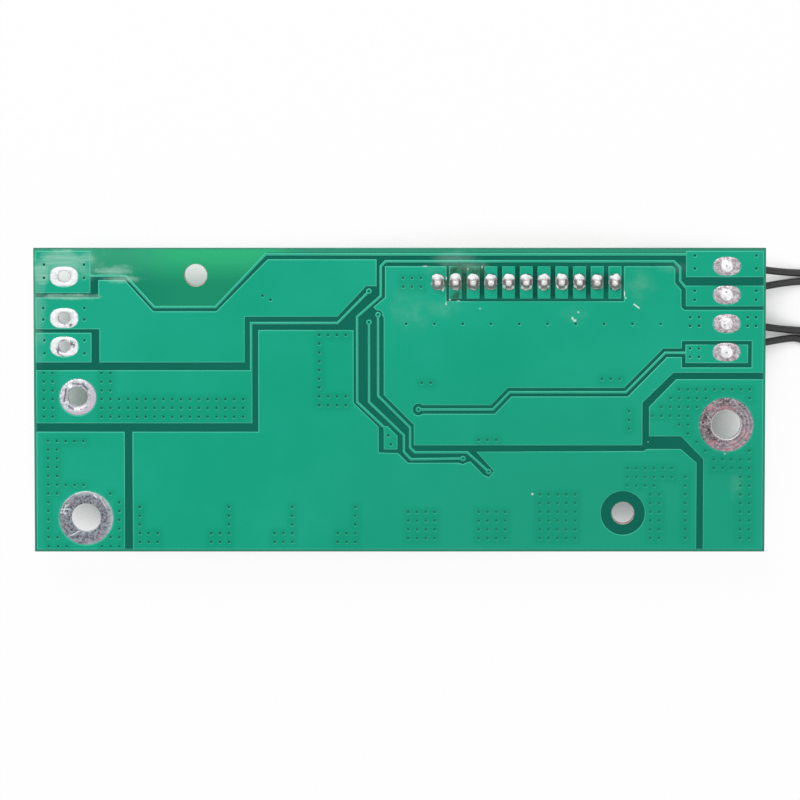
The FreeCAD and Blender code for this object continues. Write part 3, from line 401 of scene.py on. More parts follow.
laminate_mask, tree, principled = shader("mask_on_laminate")
spot = here(tree)
skin = used(tree, mask_skin)
parts = add(tree, "ShaderNodeSeparateXYZ", {0: spot}).outputs
from_left = maths(tree, "MULTIPLY_ADD", parts["X"], 1 / MM, HALF_LENGTH / MM)
from_bottom = maths(tree, "MULTIPLY_ADD", parts["Y"], 1 / MM, HALF_WIDTH / MM)
# Painted shade: the mask in the gaps is drawn darker next to the copper's walls, where ambient
# occlusion finds them near.
copper_wall_occlusion = add(tree, "ShaderNodeAmbientOcclusion", {"Distance": 0.45 * MM}, samples=8)
unshaded_gap = between(tree, copper_wall_occlusion.outputs["AO"], 0.62, 0.96)
colour = mixed(tree, unshaded_gap, (0.001, 0.09, 0.058), (0.006, 0.15, 0.104))
colour = tinted(tree, colour, (0.001, 0.1, 0.07), skin["Tone"], 0.35)
fluxed = patches(tree, spot, [(71.5, 39.0, 14.6, 2.6)], 0.75, 0.0)
colour = tinted(tree, colour, (0.003, 0.055, 0.036), fluxed, 0.7)

# A paler margin along the rim, where the copper stops short of the routed edge
along = maths(tree, "ABSOLUTE", maths(tree, "SUBTRACT", from_left, HALF_LENGTH / MM))
aside = maths(tree, "ABSOLUTE", maths(tree, "SUBTRACT", from_bottom, HALF_WIDTH / MM))
margin = maths(tree, "MAXIMUM", between(tree, along, 52.05, 52.15),
               between(tree, aside, 21.4, 21.5))
colour = mixed(tree, margin, colour, (0.03, 0.26, 0.17))

# Light comes through where neither side has copper: above the slanting outline of the areas
# near the upper left hole, greyer at the left and yellower towards the edge on the right
falling = maths(tree, "MULTIPLY_ADD", from_left, -1.098, 54.39)
rising = maths(tree, "MULTIPLY_ADD", from_left, 1.055, 7.87)
floor_line = maths(tree, "MINIMUM", 39.9, maths(tree, "MAXIMUM", falling, 35.4))
floor_line = maths(tree, "MAXIMUM", floor_line, rising)
floor_line = maths(tree, "MINIMUM", floor_line, 43.25)
bare_both_sides = between(tree, maths(tree, "SUBTRACT", from_bottom, floor_line), -0.1, 0.1)
low_part = mixed(tree, between(tree, from_left, 13, 22), (0.009, 0.25, 0.148),
                 (0.012, 0.275, 0.145))
high_part = mixed(tree, between(tree, from_left, 12, 22), (0.038, 0.365, 0.205),
                  (0.032, 0.455, 0.2))
lit_through = mixed(tree, between(tree, from_bottom, 38.2, 43.3), low_part, high_part)
lit_through = mixed(tree, between(tree, from_left, 33, 40), lit_through, (0.034, 0.3, 0.185))
colour = mixed(tree, bare_both_sides, colour, lit_through)

colour, dull = soiled(tree, colour)
tree.links.new(colour, principled.inputs["Base Color"])
tree.links.new(between(tree, dull, 0, 1, 0.34, 0.6), principled.inputs["Roughness"])
principled.inputs["Specular IOR Level"].default_value = 0.05
bump(tree, principled, skin["Peel"], 0.25, 0.01 * MM)

routed, tree, principled = shader("routed_laminate_edge")
spot = here(tree)
layers = grain(tree, vector_maths(tree, "MULTIPLY", spot, (300, 300, 9000)), 1.0)
colour = mixed(tree, between(tree, layers, 0.35, 0.65), (0.02, 0.17, 0.115), (0.045, 0.27, 0.18))
tree.links.new(colour, principled.inputs["Base Color"])
principled.inputs["Roughness"].default_value = 0.7
principled.inputs["Specular IOR Level"].default_value = 0.2
bump(tree, principled, layers, 0.5, 0.03 * MM)

drilled, tree, principled = shader("drilled_laminate")
spot = here(tree)
glass = grain(tree, spot, 3500, 3)
tree.links.new(mixed(tree, between(tree, glass, 0.35, 0.65), (0.3, 0.235, 0.185),
                     (0.62, 0.52, 0.45)), principled.inputs["Base Color"])
tree.links.new(between(tree, glass, 0.3, 0.7, 0.55, 0.75), principled.inputs["Roughness"])
principled.inputs["Specular IOR Level"].default_value = 0.2
bump(tree, principled, glass, 0.4, 0.03 * MM)

areas = flat_areas("circuit_board", BOARD_FACE)
BROKEN = 0.06 * MM
new_piece("laminate", plate(areas, [
    (BOARD_BACK, BROKEN), (BOARD_BACK + BROKEN, 0), (BOARD_FACE - BROKEN, 0),
    (BOARD_FACE, BROKEN)], (), 1, 2), [laminate_mask, routed, drilled], "circuit_board")


# Copper of the solder side: etched sheet under the same mask, which rounds over every edge and
# sinks a little into each plugged via. All its nets come from one sheet, so they are one piece.

COPPER_FACE = BOARD_FACE + 0.1 * MM
VIA_PITCH = 1.27
VIA_CORNERS = 10
VIA_LEAN = Vector((-0.05, 0.06))  # how far a pit's floor lies off its middle
VIA_SHARES = (1, 0.8, 0.68)  # a via close to an edge is drawn smaller
# A via's rings: radius and height over the mask
VIA_RINGS = [(0.39, 0), (0.34, 0.012), (0.28, -0.015), (0.2, -0.07), (0.12, -0.085)]

# Plugged vias in millimetres from the lower left corner: first x and y, then columns and rows
VIA_GRIDS = [
    (1.44, 19.5, 2, 6), (9.73, 19.5, 2, 6), (12.27, 19.5, 15, 3),
    (2.01, 0.76, 1, 13), (3.28, 8.38, 1, 7), (4.55, 15.97, 3, 1), (4.55, 9.6, 3, 1),
    (12.2, 0.74, 1, 6), (3.35, 0.74, 2, 1), (3.3, 2.01, 1, 1), (9.66, 0.74, 2, 1),
    (10.92, 2.04, 1, 1), (10.92, 8.34, 1, 1),
    (15.15, 1.34, 1, 5), (16.42, 1.34, 2, 2),
    (27.97, 1.34, 1, 5), (25.43, 1.34, 2, 2), (37.08, 1.34, 1, 5), (34.54, 1.34, 2, 2),
    (46.16, 1.34, 1, 5), (43.62, 1.34, 2, 2),
    (53.77, 1.88, 4, 4), (63.9, 1.88, 4, 4), (72.7, 1.88, 5, 6),
    (85.3, 10.76, 6, 2), (85.3, 9.49, 4, 1), (88.6, 1.88, 2, 6), (93.61, 1.9, 1, 8),
    (92.65, 23.45, 9, 1), (91.45, 22.18, 5, 1), (102.8, 22.18, 1, 1), (90.12, 20.91, 5, 1),
    (88.85, 19.62, 5, 1), (92.68, 18.35, 2, 1), (93.95, 17.08, 1, 1), (95.2, 15.85, 1, 1),
    (96.48, 14.58, 1, 1), (102.8, 14.58, 1, 1), (97.7, 12.04, 5, 2), (101.53, 1.88, 2, 8),
    (53.05, 38.27, 3, 2), (55.7, 24.4, 2, 1), (81.6, 24.98, 3, 1), (85.5, 17.74, 1, 3),
    (63.88, 16.15, 3, 1), (40.99, 21.17, 1, 9), (42.26, 21.17, 3, 2), (42.26, 31.33, 3, 1),
]
VIA_SPOTS = [(x + VIA_PITCH * column, y + VIA_PITCH * row)
             for x, y, columns, rows in VIA_GRIDS
             for column in range(columns) for row in range(rows)]
VIA_SPOTS += [(x, y) for xs, ys in (
    ((1.58, 7.32), (41.47, 39.55)), ((1.44, 7.32), (35.2, 33.55)), ((1.58, 7.32), (30.55, 28.67)),
    ((94.83, 103.66), (42.78, 40.9)), ((94.83, 103.66), (37.71, 36.41)),
    ((94.19, 95.48, 102.44, 103.66), (33.88, 32.65)), ((94.19, 95.48), (29.39, 28.16)),
    ) for x in xs for y in ys]
VIA_SPOTS += [(53.48 + 4.054 * cell, 32.94) for cell in range(10)]
VIA_SPOTS += [(32.88, 36.99), (34.03, 36.41), (50.9, 16.8), (51.26, 15.5)]
TRACE_ENDS = [(48.1, 37.7), (49.4, 34.3), (48.1, 33.2), (61.6, 13.5), (65.3, 11.6), (55.2, 20.6)]


def clear_of(spot, share, area):
    """Whether a via's dimple lies wholly in the copper of one area."""
    if not inside(spot, area[0]) or any(inside(spot, hole) for hole in area[1:]):
        return False
    need = (VIA_RINGS[0][0] * share + 0.15) * MM  # its radius and the drawn-in edge
    for line in area:
        for a, b in zip(line, line[1:] + line[:1]):
            along = b - a
            way = min(1, max(0, (spot - a).dot(along) / along.length_squared))
            if (a + along * way - spot).length < need:
                return False
    return True


def dimple(mesh, spot, share, face):
    """The pit of a plugged via; its outer ring is returned for the plate to join."""
    lean = VIA_LEAN * share * MM
    rings = []
    for number, (radius, rise) in enumerate(VIA_RINGS):
        narrower = share if number < 3 else (1 + share) / 2
        line = circle_line(spot + lean * (number / 4), radius * narrower * MM, VIA_CORNERS)
        rings.append(ring_of(mesh, line, face + rise * MM))
    # The pit's steep wall takes the lighter edge mask, partly a painted highlight, and its bottom
    # the dark mask of the via.
    for outer, inner, skin in zip(rings, rings[1:], (0, 0, 1, 2)):
        band(mesh, outer, inner, True, skin)
    floor = mesh.faces.new(rings[-1])
    floor.smooth, floor.material_index = True, 2
    return rings[0]


def round_vias(tree, spot):
    """A soft mask over each group of vias, where the mask is drawn darker."""
    parts = add(tree, "ShaderNodeSeparateXYZ", {0: spot}).outputs
    total = 0.0
    for x, y, columns, rows in VIA_GRIDS:
        sides = []
        first = from_corner(x, y)
        for part, start, steps in (("X", first.x, columns - 1), ("Y", first.y, rows - 1)):
            half = steps * VIA_PITCH / 2
            away = maths(tree, "ABSOLUTE", maths(tree, "SUBTRACT", parts[part], start + half * MM))
            sides.append(between(tree, away, (half + 1.3) * MM, (half + 0.2) * MM))
        total = maths(tree, "MAXIMUM", total, maths(tree, "MULTIPLY", *sides))
    return total


def green(name, thin, thick, worn, fluxed=0.0):
    """Mask on copper, thin to thick; worn takes soil, fluxed darkens it round the header's pins."""
    material, tree, principled = shader(name)
    spot = here(tree)
    skin = used(tree, mask_skin)
    colour = mixed(tree, skin["Tone"], thick, thin)
    # Painted shade: the mask over copper is drawn darker towards the lower right, where the light
    # falls off.
    lower_right_shade = patches(tree, spot, [(80.0, 4.0, 62.0, 34.0), (98.5, 12.5, 9.5, 12.5)], 0.0, 0.15)
    colour = tinted(tree, colour, (0.015, 0.29, 0.175), lower_right_shade, 0.5)
    via_group_darkening = maths(tree, "MULTIPLY", round_vias(tree, spot), 0.34)
    colour = mixed(tree, via_group_darkening, colour, (0.003, 0.27, 0.15))
    if fluxed:
        by_pins = patches(tree, spot, [(71.5, 38.6, 14.6, 4.0)], 0.75, 0.0)
        colour = tinted(tree, colour, (0.012, 0.3, 0.19), by_pins, fluxed)
    if worn:
        colour, dull = soiled(tree, colour)
        tree.links.new(between(tree, dull, 0, 1, 0.3, 0.6), principled.inputs["Roughness"])
    else:
        tree.links.new(between(tree, skin["Tone"], 0, 1, 0.3, 0.4), principled.inputs["Roughness"])
    tree.links.new(colour, principled.inputs["Base Color"])
    principled.inputs["Specular IOR Level"].default_value = 0.05
    bump(tree, principled, skin["Peel"], 0.25, 0.01 * MM)
    return material


copper_mask = green("mask_on_copper", (0.013, 0.405, 0.255), (0.008, 0.37, 0.222), True)
# The mask over the copper's rounded edges and on each via pit's steep wall is drawn lighter: partly
# the thinner mask over the copper, partly a painted highlight.
lit_edge_mask = green("mask_over_copper_edge_highlit", (0.085, 0.56, 0.39), (0.055, 0.49, 0.33), True, 0.6)
via_mask = green("mask_in_via", (0.004, 0.13, 0.085), (0.003, 0.09, 0.06), False)

via_points = [(from_corner(x, y), 1.0) for x, y in VIA_SPOTS]
via_points += [(from_corner(x, y), 0.8) for x, y in TRACE_ENDS]
FOIL_LEVELS = [(BOARD_FACE, 0), (COPPER_FACE - 0.07 * MM, 0),
               (COPPER_FACE - 0.045 * MM, 0.025 * MM), (COPPER_FACE - 0.012 * MM, 0.08 * MM),
               (COPPER_FACE, 0.13 * MM)]
areas = flat_areas("solder_side_copper", COPPER_FACE)
new_piece("solder_side_foil", plate(areas, FOIL_LEVELS, via_points, 1, 1),
          [copper_mask, lit_edge_mask, via_mask], "solder_side_copper")


# Copper of the component side: the same etched and masked sheet, facing down, with broad pours
# for the pack current and a pair of pads for each cell's bleed resistor.

def turned_over(mesh):
    """The same mesh on the board's other side."""
    for vert in mesh.verts:
        vert.co.z = BOARD_BACK + BOARD_FACE - vert.co.z
    bmesh.ops.reverse_faces(mesh, faces=mesh.faces)
    return mesh


COMPONENT_FACE = BOARD_BACK - 0.1 * MM
areas = flat_areas("component_side_copper", COMPONENT_FACE)
new_piece("component_side_foil", turned_over(plate(areas, FOIL_LEVELS, via_points, 1, 1)),
          [copper_mask, lit_edge_mask, via_mask], "component_side_copper")


# Lands for the power wires: three plated holes with a ring of tin on both faces. They were
# dipped and handled, so the tin is dull and scratched at the battery land, stained with flux at
# the pack land and bright and lumpy at the charge land.

def rounds(mesh, centre, rings, count=96, closed=True, skins=()):
    """Rings (half x, half y, height) in mm about an upright line, joined up; long ones squarer."""
    made = []
    for wide, deep, height in rings:
        power = 1 - 0.26 * min(1, abs(wide - deep) / 0.25)
        line = []
        for step in range(count):
            turn = 2 * math.pi * step / count
            across, along = (math.copysign(abs(part) ** power, part)
                             for part in (math.cos(turn), math.sin(turn)))
            line.append(centre + Vector((wide * across, deep * along)) * MM)
        made.append(ring_of(mesh, line, height * MM))
    pairs = list(zip(made, made[1:] + (made[:1] if closed else [])))
    for number, (low, high) in enumerate(pairs):
        band(mesh, low, high, True, skins[number] if number < len(skins) else 0)
    return made


def distance_to(tree, spot, x, y):
    """How far the surface is from an upright line, in millimetres."""
    centre = from_corner(x, y)
    flat = vector_maths(tree, "MULTIPLY", spot, (1, 1, 0))
    away = vector_maths(tree, "DISTANCE", flat, (centre.x, centre.y, 0))
    return maths(tree, "MULTIPLY", away, 1 / MM)


def wandering(tree, spot):
    """The surface point shifted a little by noise, so that strokes on it don't run straight."""
    noises = add(tree, "ShaderNodeTexNoise", {"Vector": spot, "Scale": 1500.0, "Detail": 2.0})
    shift = (0.3 * MM, 0.3 * MM, 0)
    return vector_maths(tree, "MULTIPLY_ADD", noises.outputs["Color"], shift, spot)


def uneven(verts, height, size, seed=0.0):
    """Raise and lower vertices by a smooth noise; size is its length in millimetres."""
    for vert in verts:
        vert.co.z += height * MM * noise.noise(vert.co / (size * MM) + Vector((0, 0, seed)))


# Mottled tin: crystals of two sizes in light and dark, and their height.
tin_grain, end, spot = group("tin_grain", "Light", "Height")
tree = tin_grain
coarse = between(tree, grain(tree, spot, 2300, 4, 0.7), 0.43, 0.58)
crystals = add(tree, "ShaderNodeTexVoronoi", {"Vector": spot, "Scale": 3200.0})
fine = between(tree, crystals.outputs["Distance"], 0.1, 0.7)
tree.links.new(maths(tree, "MULTIPLY_ADD", coarse, 0.62, maths(tree, "MULTIPLY", fine, 0.38)),
               end.inputs["Light"])
tree.links.new(maths(tree, "ADD", coarse, maths(tree, "MULTIPLY", fine, 0.5)),
               end.inputs["Height"])


def tin(name, dark, light, metal=0.55, relief=0.35, dress=None):
    """Tinned metal: mottled between two colours; dress adds what one piece alone has."""
    material, tree, principled = shader(name)
    spot = here(tree)
    mottle = used(tree, tin_grain)
    colour = mixed(tree, mottle["Light"], dark, light)
    if dress:
        colour = dress(tree, spot, colour)
    tree.links.new(colour, principled.inputs["Base Color"])
    tree.links.new(between(tree, mottle["Light"], 0, 1, 0.55, 0.3), principled.inputs["Roughness"])
    principled.inputs["Metallic"].default_value = metal
    bump(tree, principled, mottle["Height"], relief, 0.04 * MM)
    return material


def battery_marks(tree, spot, colour):
    """Paler towards the rim, with a painted highlight along the rim that is strongest at the upper
    right; scratches from a probe or a knife.
    """
    away = distance_to(tree, spot, 7.4, 4.9)
    coarse = between(tree, grain(tree, spot, 1100, 3), 0.4, 0.62)
    pale = maths(tree, "MULTIPLY", between(tree, away, 2.75, 3.6), coarse)
    colour = tinted(tree, colour, (0.42, 0.42, 0.47), pale, 0.6)
    warm = between(tree, grain(tree, spot, 700, 2), 0.56, 0.68)
    colour = tinted(tree, colour, (0.3, 0.17, 0.2), warm, 0.35)
    # Painted highlight: a lighter band along the rim, strongest at the upper right, and a thin
    # light line at its outer edge.
    rim = maths(tree, "MULTIPLY", between(tree, distance_to(tree, spot, 6.95, 4.45), 3.62, 4.25),
                between(tree, grain(tree, spot, 1300, 3, 0.6), 0.35, 0.62, 0.15, 0.75))
    colour = mixed(tree, rim, colour, (0.45, 0.53, 0.55))
    thin_rim_highlight = maths(tree, "MULTIPLY", between(tree, away, 3.7, 3.82), between(
        tree, grain(tree, spot, 600, 2), 0.35, 0.6, 0.2, 0.8))
    colour = mixed(tree, thin_rim_highlight, colour, (0.4, 0.56, 0.55))
    for first, last, width in (((3.75, 6.15), (5.15, 6.2), 0.26), ((4.1, 5.5), (4.5, 6.9), 0.2),
                               ((3.65, 5.65), (4.0, 5.75), 0.4), ((4.2, 5.5), (4.6, 5.65), 0.4),
                               ((5.1, 2.3), (6.6, 3.1), 0.24), ((8.4, 8.4), (9.0, 7.8), 0.3),
                               ((4.3, 6.5), (5.0, 6.95), 0.2), ((9.4, 7.9), (10.4, 6.2), 0.14)):
        colour = mixed(tree, maths(tree, "MULTIPLY", stroke(tree, spot, first, last, width), 0.85),
                       colour, (0.8, 0.84, 0.86))
    return colour


def pack_marks(tree, spot, colour):
    """Pink copper that shows through, burnt flux in speckled patches, brushed arcs."""
    pink = patches(tree, spot, [
        (99.1, 20.85, 1.3, 0.55), (100.1, 20.7, 0.7, 0.45), (97.3, 15.8, 1.1, 0.8),
        (102.2, 17.1, 0.8, 1.2), (100.8, 15.6, 1.6, 0.65), (97.2, 20.9, 0.8, 0.7),
        (99.6, 14.9, 1.0, 0.4)], 0.2, 0.9)
    colour = tinted(tree, colour, (0.5, 0.22, 0.27), pink, 0.7)
    away = distance_to(tree, spot, 99.4, 18.4)
    arcs = between(tree, maths(tree, "SINE", maths(tree, "MULTIPLY", away, 12.0)), -0.5, 0.8)
    right = between(tree, distance_to(tree, spot, 97.0, 19.0), 3.6, 4.8)
    colour = mixed(tree, maths(tree, "MULTIPLY", arcs, maths(tree, "MULTIPLY", right, 0.6)), colour,
                   (0.42, 0.4, 0.43))
    burnt = patches(tree, spot, [
        (99.4, 21.8, 1.5, 0.6), (96.45, 18.9, 1.0, 1.7), (96.9, 17.4, 0.8, 0.9),
        (101.8, 21.1, 0.8, 0.9), (97.8, 16.5, 0.9, 0.7), (100.9, 20.2, 0.5, 0.5)], 0.2, 0.9)
    speckle = between(tree, grain(tree, spot, 2800, 3, 0.6), 0.54, 0.46)
    burnt = maths(tree, "MULTIPLY", maths(tree, "MULTIPLY_ADD", burnt, 0.65, 0.3), speckle)
    colour = mixed(tree, burnt, colour, (0.04, 0.026, 0.03))
    lip = between(tree, maths(tree, "ABSOLUTE", maths(tree, "SUBTRACT", away, 2.13)), 0.1, 0.02)
    return mixed(tree, lip, colour, (0.75, 0.72, 0.7))


def charge_marks(tree, spot, colour):
    """Fresh bright solder on the upper left, with a painted glint on it; lilac on the right, dark
    facets round the bore.
    """
    lilac = between(tree, distance_to(tree, spot, 5.2, 23.4), 2.1, 3.5)
    colour = tinted(tree, colour, (0.5, 0.45, 0.52), lilac, 0.75)
    bent = wandering(tree, spot)
    for first, last, width in (
            ((4.8, 23.9), (4.45, 21.8), 0.5), ((5.0, 21.4), (5.85, 20.7), 0.5),
            ((5.1, 21.7), (6.1, 21.1), 0.22), ((5.6, 24.5), (7.1, 24.45), 0.3),
            ((7.0, 24.5), (8.0, 23.6), 0.6), ((7.35, 23.6), (7.85, 23.0), 0.3),
            ((6.6, 20.85), (7.1, 20.8), 0.26), ((7.3, 20.9), (7.9, 21.2), 0.36)):
        colour = mixed(tree, stroke(tree, bent, first, last, width), colour,
                       (0.15, 0.135, 0.18))
    # Painted glint: a small white spot on the upper left of the lip.
    shine = between(tree, distance_to(tree, spot, 5.2, 24.0), 0.4, 0.15)
    return mixed(tree, shine, colour, (0.95, 0.97, 1.0))


TIN_SWELL, SWELL_STEPS = 0.015, 9
BORE_WALL = 0.2


def ring_profile(bore, rim, lip):
    """Rings of a tinned, plated hole, from its rim down the bore; a lip of solder narrows it."""
    if lip:
        top = [(rim, 8.62), (rim - 0.03, 8.67), (rim - 0.14, 8.71), (rim - 0.35, 8.73),
               (bore + 0.45, 8.73), (bore + 0.3, 8.71), (bore + 0.12, 8.64),
               (bore - lip * 0.4, 8.54), (bore - lip * 0.85, 8.42), (bore - lip, 8.3),
               (bore - lip * 0.7, 8.16)]
    else:
        top = [(rim, 8.62), (rim - 0.02, 8.68), (rim - 0.1, 8.72)]
        top += [(rim - 0.1 - (rim - bore - 0.25) * step / SWELL_STEPS,
                 8.72 + TIN_SWELL * math.sin(math.pi * step / SWELL_STEPS))
                for step in range(1, SWELL_STEPS)]
        top += [(bore + 0.15, 8.73), (bore + 0.06, 8.7), (bore + 0.01, 8.62), (bore, 8.5)]
    barrel = [(bore, height) for height in (8.1, 7.8, 7.5)]
    under = [(radius, BOARD_BACK / MM + BOARD_FACE / MM - height) for radius, height in top[::-1]]
    outside = [(bore + BORE_WALL, BOARD_BACK / MM), (bore + BORE_WALL, BOARD_FACE / MM)]
    return [(radius, radius, height) for radius, height in top + barrel + under + outside]


tinned_bore = tin("tinned_bore", (0.5, 0.52, 0.54), (0.85, 0.87, 0.88), 0.6, 0.15)
MID_BOARD = (BOARD_BACK + BOARD_FACE) / 2
for name, node, x, y, bore, rim, lip, finish in (
        ("battery_ring", "battery_minus_land", 7.4, 4.9, 2.1, 3.9, 0.0,
         tin("dull_tin", (0.03, 0.034, 0.046), (0.31, 0.33, 0.38), dress=battery_marks)),
        ("pack_ring", "pack_minus_land", 99.4, 18.4, 2.1, 3.9, 0.0,
         tin("stained_tin", (0.09, 0.07, 0.08), (0.42, 0.36, 0.39), dress=pack_marks)),
        ("charge_ring", "charge_minus_land", 6.3, 22.4, 1.6, 2.65, 0.18,
         tin("bright_tin", (0.3, 0.31, 0.36), (0.78, 0.8, 0.83), dress=charge_marks))):
    mesh = bmesh.new()
    profile = ring_profile(bore, rim, lip)
    skins = [1 if wide < bore + 0.03 else 0 for wide, deep, height in profile]
    rounds(mesh, from_corner(x, y), profile, skins=skins)
    uneven([vert for vert in mesh.verts if abs(vert.co.z - MID_BOARD) > 0.9 * MM], 0.02, 0.7)
    new_piece(name, mesh, [finish, tinned_bore], node)


# Left terminals: oval tinned lands with open plated holes for the sense wires of the first
# cells. They were topped up with an iron, so the solder lies in uneven bright cushions.

def terminal_marks(tree, spot, colour):
    """Greyer solder round the bores, flux pink here and there, dark facets in the lowest one."""
    inner = patches(tree, spot, [
        (4.4, 39.8, 1.4, 1.0), (4.5, 33.9, 1.7, 1.15), (4.3, 29.7, 1.3, 1.2)], 0.6, 0.3)
    colour = tinted(tree, colour, (0.6, 0.585, 0.61), inner, 0.7)
    pink = between(tree, grain(tree, spot, 800, 2), 0.55, 0.7)
    colour = tinted(tree, colour, (0.62, 0.53, 0.58), pink, 0.4)
    facets = patches(tree, spot, [(5.0, 32.85, 1.1, 0.3), (3.2, 39.9, 0.25, 0.6),
                                  (5.7, 30.2, 0.6, 0.8), (3.4, 29.0, 0.7, 0.7)])
    dark = maths(tree, "MULTIPLY", facets,
                 between(tree, grain(tree, spot, 2300, 3, 0.6), 0.47, 0.56))
    bent = wandering(tree, spot)
    for first, last in (((3.35, 29.6), (3.6, 28.9)), ((3.6, 28.9), (4.5, 28.5)),
                        ((5.35, 30.9), (5.6, 30.1)), ((6.0, 30.4), (6.1, 29.9)),
                        ((3.9, 30.6), (4.7, 30.9))):
        dark = maths(tree, "MAXIMUM", dark, stroke(tree, bent, first, last, 0.24))
    return mixed(tree, dark, colour, (0.17, 0.16, 0.2))


TERMINAL_COLUMN, TERMINAL_ROWS = 4.4, (39.8, 33.8, 29.7)
cushion = tin("terminal_solder", (0.7, 0.72, 0.75), (0.93, 0.94, 0.95), 0.45, 0.3,
              terminal_marks)
TERMINAL_RINGS = [
    (2.0, 1.45, 8.62), (1.98, 1.43, 8.68), (1.9, 1.36, 8.74), (1.72, 1.24, 8.79), (1.5, 1.12, 8.82),
    (1.28, 1.0, 8.82), (1.1, 0.95, 8.79), (0.96, 0.9, 8.74), (0.88, 0.87, 8.66), (0.85, 0.85, 8.5),
    (0.85, 0.85, 7.8), (0.85, 0.85, 7.1), (0.88, 0.87, 6.94), (1.0, 0.95, 6.87), (1.5, 1.1, 6.84),
    (1.9, 1.36, 6.87), (1.98, 1.43, 6.92), (2.0, 1.45, 6.98), (1.05, 1.05, 7.0), (1.05, 1.05, 8.6)]
for number, y in enumerate(TERMINAL_ROWS, start=1):
    mesh = bmesh.new()
    rounds(mesh, from_corner(TERMINAL_COLUMN, y), TERMINAL_RINGS, 80, skins=[0] * 8 + [1] * 4)
    uneven([vert for vert in mesh.verts if vert.co.z > 8.64 * MM], 0.07, 0.55, number * 3.7)
    new_piece(f"sense_terminal_{number}", mesh, [cushion, tinned_bore], f"left_terminal_{number}")


# Lead joints: oval lands on the right, filled with solder that stands in a dome over the end of
# each sensor lead. The flux has left the flat part dull and pinkish; bare strands show below.

JOINT_COLUMN, JOINT_ROWS = 99.4, (41.3, 37.17, 33.04, 28.91)


def joint_marks(tree, spot, colour):
    """Bright domes with a dark pinhole on dull stained lands."""
    for y, pit_x, pit_y in zip(JOINT_ROWS, (-0.05, -0.1, -0.3, 0), (0.1, 0.45, -0.2, 0)):
        dome = between(tree, distance_to(tree, spot, JOINT_COLUMN, y), 1.0, 0.72)
        streaky = between(tree, grain(tree, spot, 1400, 3), 0.35, 0.6, 0.55, 1.0)
        colour = mixed(tree, maths(tree, "MULTIPLY", dome, streaky), colour, (0.88, 0.89, 0.9))
        pit = between(tree, distance_to(tree, spot, JOINT_COLUMN + pit_x, y + pit_y), 0.22, 0.08)
        colour = tinted(tree, colour, (0.14, 0.12, 0.13), pit, 0.75)
    return colour


stained = tin("stained_solder", (0.24, 0.19, 0.21), (0.62, 0.57, 0.6), 0.5, 0.4, joint_marks)
bare = tin("tinned_strands", (0.5, 0.5, 0.5), (0.75, 0.75, 0.74), 0.7, 0.2)
JOINT_RINGS = [
    (0.2, 0.2, 6.12), (0.28, 0.28, 6.1), (0.3, 0.3, 6.14), (0.3, 0.3, 6.6), (0.36, 0.35, 6.78),
    (0.6, 0.5, 6.86), (1.2, 0.9, 6.87), (1.85, 1.28, 6.88), (1.95, 1.35, 6.94), (1.95, 1.35, 7.0),
    (0.65, 0.65, 7.0), (0.65, 0.65, 8.6), (1.95, 1.35, 8.6), (1.94, 1.34, 8.68),
    (1.86, 1.28, 8.74), (1.6, 1.15, 8.78), (1.35, 1.05, 8.8), (1.12, 0.98, 8.83),
    (0.98, 0.93, 8.89), (0.88, 0.86, 8.97), (0.72, 0.71, 9.04), (0.5, 0.5, 9.08),
    (0.25, 0.25, 9.1)]
for number, y in enumerate(JOINT_ROWS, start=1):
    mesh = bmesh.new()
    rings = rounds(mesh, from_corner(JOINT_COLUMN, y), JOINT_RINGS, 64, False, [1] * 4)
    mesh.faces.new(rings[-1]).smooth = True
    tip = mesh.faces.new(rings[0][::-1])
    tip.material_index = 1
    uneven([vert for vert in mesh.verts if vert.co.z > 8.7 * MM], 0.06, 0.5, number * 2.3)
    new_piece(f"sensor_joint_{number}", mesh, [stained, bare], f"lead_joint_{number}")


# Header joints: solder round the eleven pins, put on by hand with too much flux. Each stands
# higher towards the board's edge, has a dark ring of flux round it and leaves the pin's tip free.

FIRST_PIN, PIN_ROW, PIN_PITCH = 57.95, 39.05, 2.54
PIN_SPOTS = [(FIRST_PIN + PIN_PITCH * step, PIN_ROW) for step in range(11)]


